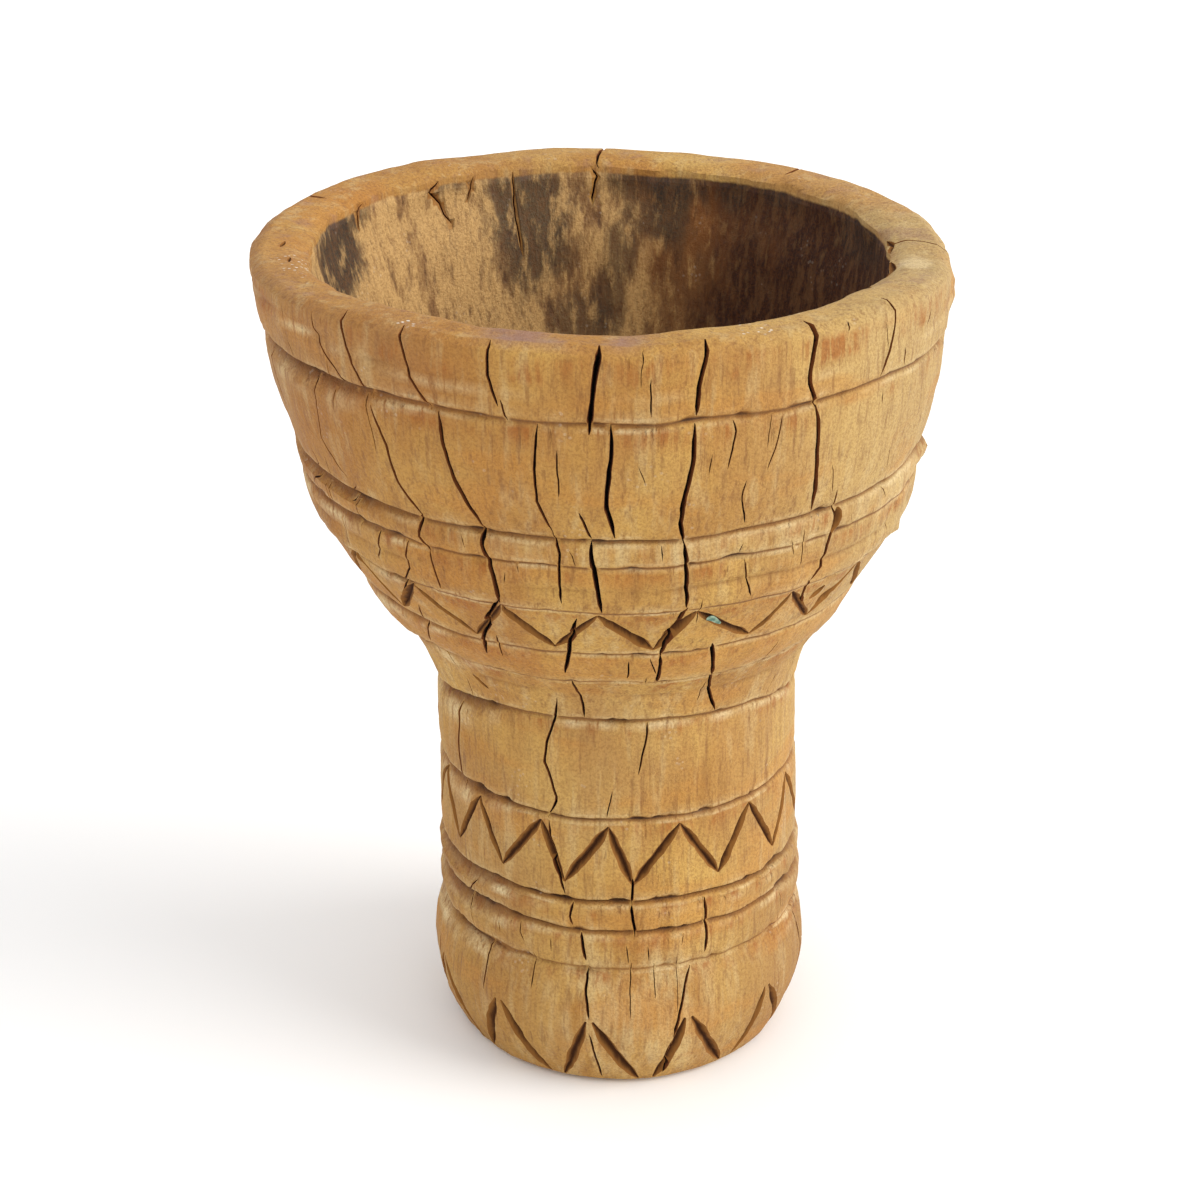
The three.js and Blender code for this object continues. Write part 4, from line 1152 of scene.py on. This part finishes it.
class LogSettings(PropertyGroup):
    """How the log is turned and worn."""
    columns: IntProperty(name="Columns", description="Facets round the log", default=288, min=60, max=400)
    knife_marks: length("Knife Marks", "Height of the broad marks of the blade", 0.00055)
    fine_marks: length("Fine Marks", "Height of the small bumps", 0.00024)
    out_of_round: length("Out Of Round", "How far the log is out of round", 0.0007)
    flutes: length("Flutes", "Height of the long ripples along the grain", 0.0003)
    waviness: length("Waviness", "How far the rings wander up and down", 0.0012)
    groove_above: length("Groove Above", "How far a groove reaches above its line", 0.0011)
    thin_chamfer: length("Thin Chamfer", "How far a groove reaches below its line in front", 0.0014)
    wide_chamfer: length("Wide Chamfer", "How far a groove reaches below its line on the left", 0.0064)
    crease_depth: length("Crease Depth", "Depth of the faint extra rings", 0.0011)
    chip_depth: length("Chip Depth", "Depth of the chips along the rings", 0.0014)
    bowl_marks: length("Bowl Marks", "Height of the upright marks in the bowl", 0.0005)
    mouth_chips: length("Mouth Chips", "How ragged the mouth's edge is", 0.002)
    oval: length("Oval", "How far the rim bulges at the back", 0.0034)
    front_rise: length("Front Rise", "How much higher the rim stands in front", FRONT_RISE * MM)
    lip_wear: length("Lip Wear", "How uneven the lip's top is", 0.0007)


class CutSettings(PropertyGroup):
    """How deep the knife went and how the log split."""
    notch_depth: FloatProperty(name="Notch Depth", description="Depth of a notch, in its widths", default=0.6,
                               min=0.2, max=1.5)
    crack_depth: FloatProperty(name="Crack Depth", description="Depth of a crack, in its widths", default=3.2,
                               min=1.0, max=6.0)
    wander: length("Wander", "How far a crack strays from its line", 0.00055)
    checks: IntProperty(name="Checks", description="Small splits along the grain", default=120, min=0,
                        max=400)


class ColourSettings(PropertyGroup):
    """The colours of the wood, its stains and the flake."""
    ochre: paint("Ochre", "The body of the wood", "ae7f3e")
    honey: paint("Honey", "The lighter wood", "c59c52")
    # Rosy is partly painted shade on the left side.
    rosy: paint("Rosy", "The pinkish wood on the left", "9e672e")
    cream: paint("Cream", "Bleached wood and worn edges", "cdb582")
    crest: paint("Crest", "Worn edges of the rings", "dcc596")
    rust: paint("Rust", "Short streaks under the rings", "9a5c22")
    amber: paint("Amber", "The orange wood of the shoulder", "bb7f36")
    # In the grooves this brown is partly painted shade.
    brown: paint("Brown", "Grooves and dark fibres", "6e4016")
    # Dark is also painted shade in the deepest grooves and at the bottom of a splinter.
    dark: paint("Dark", "Dirt in the deepest grooves", "3c2416")
    # Notch Dark is painted shade at the bottom of a notch; Notch Light is the lit wall.
    notch_dark: paint("Notch Dark", "The bottom of a notch", "4c2b12")
    notch_light: paint("Notch Light", "The sides of a notch", "8a5c2a")
    # Crack Dark is painted shade deep in a crack.
    crack_dark: paint("Crack Dark", "Deep in a crack", "2c150b")
    crack_light: paint("Crack Light", "The sides of a crack", "7a4520")
    bowl_tan: paint("Bowl Tan", "The clean wood of the bowl", "caa268")
    bowl_brown: paint("Bowl Brown", "The worn wood of the bowl", "86623c")
    # Painted light on the right side, which faces the lamp.
    lit_side: paint("Pale", "The sun-bleached right side", "b89c68")
    # Painted shade low on the foot.
    foot_shade: paint("Foot Shade", "The darker right side of the foot", "946a38")
    # Partly painted shade on the bowl's right.
    bowl_rust: paint("Bowl Rust", "The reddish wood of the bowl", "96602f")
    # Also painted shade on the bowl's right wall.
    bowl_red: paint("Bowl Red", "The oiled side of the bowl", "34190f")
    soot: paint("Soot", "Black stains in the bowl", "2c2722")
    plum: paint("Plum", "Stains on the lip", "8a6660")
    speck: paint("Speck", "White specks", "efe9dc")
    flake: paint("Flake", "The flake's middle", "46695b")
    flake_edge: paint("Flake Edge", "The flake's pale parts", "90a68c")


class StageSettings(PropertyGroup):
    """The studio round the mortar."""
    sky: FloatProperty(name="Sky", description="Strength of the light from all round", default=1.0, min=0.0,
                       max=3.0)
    sun: FloatProperty(name="Sun", description="Strength of the broad lamp at the right", default=2.1,
                       min=0.0, max=20.0)
    softness: FloatProperty(name="Softness", description="Width of the broad lamp", default=math.radians(40),
                            min=0.0, max=math.pi, subtype="ANGLE")


SETTINGS = {"mortar_log": LogSettings, "mortar_cuts": CutSettings, "mortar_colours": ColourSettings,
            "mortar_stage": StageSettings}


def tree_sizes(group, names):
    """The named settings as tree inputs, under the names that the user sees."""
    return {group.bl_rna.properties[name].name: getattr(group, name) for name in names}


# ---- Pieces ----

class MORTAR_OT_body(Operator):
    """Carve the mortar: turn the log, cut the notches and split it"""
    bl_idname = "mortar.body"
    bl_label = "Carve Body"

    def execute(self, context):
        scene = context.scene
        log, cuts, colours = scene.mortar_log, scene.mortar_cuts, scene.mortar_colours
        body = log_profile()
        sizes = tree_sizes(log, LogSettings.__annotations__)
        grow(body, log_tree(sizes, wood_finish(colours)), sizes)
        settle(body)
        notch = cut_finish("notch_cut", colours.notch_dark, colours.notch_light, (0.15, 0.9))
        split = cut_finish("crack_wall", colours.crack_dark, colours.crack_light, (0.1, 0.42))
        torn = cut_finish("splinter_wall", colours.dark, colours.brown, (0.2, 0.8))
        knife = dict(KNIFE, Depth=cuts.notch_depth)
        drying = dict(DRYING, Depth=cuts.crack_depth, Wander=cuts.wander)
        notches = zigzag(BOWL_ROW) + zigzag(STEM_ROW) + chevrons(FOOT_ROW) + list(POCKETS)
        cut_away(body, cutters("Notches", notches, knife, body, notch))
        cut_away(body, cutters("Cracks", CRACKS, drying, body, split))
        cut_away(body, cutters("Fine Cracks", FINE_CRACKS, drying, body, split))
        cut_away(body, cutters("Checks", short_checks(cuts.checks, CHECK_SEED), drying, body, torn))
        keep_largest(body.data)
        for name in CUT_VALUES:
            body.data.attributes.remove(body.data.attributes[name])
        if not FEWEST_FACES < len(body.data.polygons) < MOST_FACES:
            raise RuntimeError("The body's cuts failed, or left too many faces")
        body.data.shade_smooth()
        body.data.set_sharp_from_angle(angle=math.radians(SHARP_ANGLE))
        body.name = body.data.name = "carved_body"
        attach(body, "root")
        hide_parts("mortar_body")
        return {"FINISHED"}


class MORTAR_OT_flake(Operator):
    """Wedge a thin pale flake into a notch of the bowl's row"""
    bl_idname = "mortar.flake"
    bl_label = "Add Flake"

    def execute(self, context):
        low, high = (Vector(corner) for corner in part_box("groove_flake"))
        middle = (low + high) / 2
        turn = math.atan2(middle.x, -middle.y)
        out = Vector((math.sin(turn), -math.cos(turn), -0.25)).normalized()
        long_way = Vector((math.cos(turn), math.sin(turn), -0.45)).normalized()
        across = out.cross(long_way).normalized()
        chance = random.Random(FLAKE_SEED)
        columns, rows = FLAKE_GRID
        vertices = []
        for i in range(columns):
            t = i / (columns - 1)
            wide = FLAKE["breadth"] * (0.25 + 0.75 * math.sin(math.pi * min(t * 0.8 + 0.18, 1.0)))
            for j in range(rows):
                s = j / (rows - 1) - 0.5
                curl = FLAKE["curl"] * (4 * (t - 0.5) ** 2 - 1 + 2 * s * s) + chance.uniform(-0.08, 0.08)
                spot = (long_way * (t - 0.5) * FLAKE["length"] + across * (s * wide + 0.3 * math.sin(t * 5))
                        + out * (curl + FLAKE["proud"]))
                vertices.append(middle + spot * MM)
        faces = [(i * rows + j, (i + 1) * rows + j, (i + 1) * rows + j + 1, i * rows + j + 1)
                 for i in range(columns - 1) for j in range(rows - 1)]
        flake = add_object("pale_flake", vertices, faces=faces)
        flake.data.materials.append(flake_finish(context.scene.mortar_colours))
        skin = flake.modifiers.new("Thickness", "SOLIDIFY")
        skin.thickness = FLAKE["thickness"] * MM
        skin.offset = 0.0
        settle(flake)
        rounded = flake.modifiers.new("Rounding", "SUBSURF")
        rounded.levels = rounded.render_levels = 1
        settle(flake)
        flake.name = flake.data.name = "pale_flake"
        flake.data.shade_smooth()
        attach(flake, "root")
        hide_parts("groove_flake")
        return {"FINISHED"}


class MORTAR_OT_stage(Operator):
    """Set up the floor, the lamps and the camera"""
    bl_idname = "mortar.stage"
    bl_label = "Set Stage"

    def execute(self, context):
        scene = context.scene
        stage = scene.mortar_stage
        corners = [(x * FLOOR_HALF, y * FLOOR_HALF, 0) for x, y in ((-1, -1), (1, -1), (1, 1), (-1, 1))]
        floor = add_object("floor", corners, faces=[(0, 1, 2, 3)])
        floor.data.materials.append(floor_finish())
        scene.world = bpy.data.worlds.new("white_room")
        scene.world.use_nodes = True
        sky = scene.world.node_tree.nodes["Background"]
        sky.inputs["Color"].default_value = (1.0, 1.0, 1.0, 1.0)
        sky.inputs["Strength"].default_value = stage.sky
        sun = bpy.data.objects.new("sun", bpy.data.lights.new("sun", "SUN"))
        scene.collection.objects.link(sun)
        sun.data.energy = stage.sun
        sun.data.angle = stage.softness
        sun.data.color = SUN_COLOUR
        sun.rotation_euler = Vector(SUN_DIRECTION).to_track_quat("-Z", "Y").to_euler()
        camera = bpy.data.objects.new("camera", bpy.data.cameras.new("camera"))
        scene.collection.objects.link(camera)
        camera.data.lens = LENS
        camera.data.sensor_width = SENSOR
        camera.data.clip_start = 0.05
        camera.matrix_world = (Matrix.Translation(CAMERA_PLACE)
                               @ Matrix.Rotation(math.radians(CAMERA_TILT), 4, "X")
                               @ Matrix.Rotation(math.radians(CAMERA_ROLL), 4, "Z"))
        scene.camera = camera
        scene.view_settings.view_transform = "Standard"
        return {"FINISHED"}


OPERATORS = (MORTAR_OT_body, MORTAR_OT_flake, MORTAR_OT_stage)


class MORTAR_PT_panel(Panel):
    """The mortar's sizes and colours, and the buttons that build it"""
    bl_idname = "MORTAR_PT_panel"
    bl_label = "Carved Mortar"
    bl_space_type = "VIEW_3D"
    bl_region_type = "UI"
    bl_category = "Mortar"

    def draw(self, context):
        for name, group in SETTINGS.items():
            box = self.layout.box()
            box.label(text=group.__doc__)
            for setting in group.__annotations__:
                box.prop(getattr(context.scene, name), setting)
        for operator in OPERATORS:
            self.layout.operator(operator.bl_idname)


def register():
    for group in (*SETTINGS.values(), *OPERATORS, MORTAR_PT_panel):
        bpy.utils.register_class(group)
    for name, group in SETTINGS.items():
        setattr(bpy.types.Scene, name, PointerProperty(type=group))


def unregister():
    for name in SETTINGS:
        delattr(bpy.types.Scene, name)
    for group in reversed((*SETTINGS.values(), *OPERATORS, MORTAR_PT_panel)):
        bpy.utils.unregister_class(group)


def main():
    register()
    bpy.ops.mortar.body()
    bpy.ops.mortar.flake()
    bpy.ops.mortar.stage()


if __name__ == "__main__":
    main()
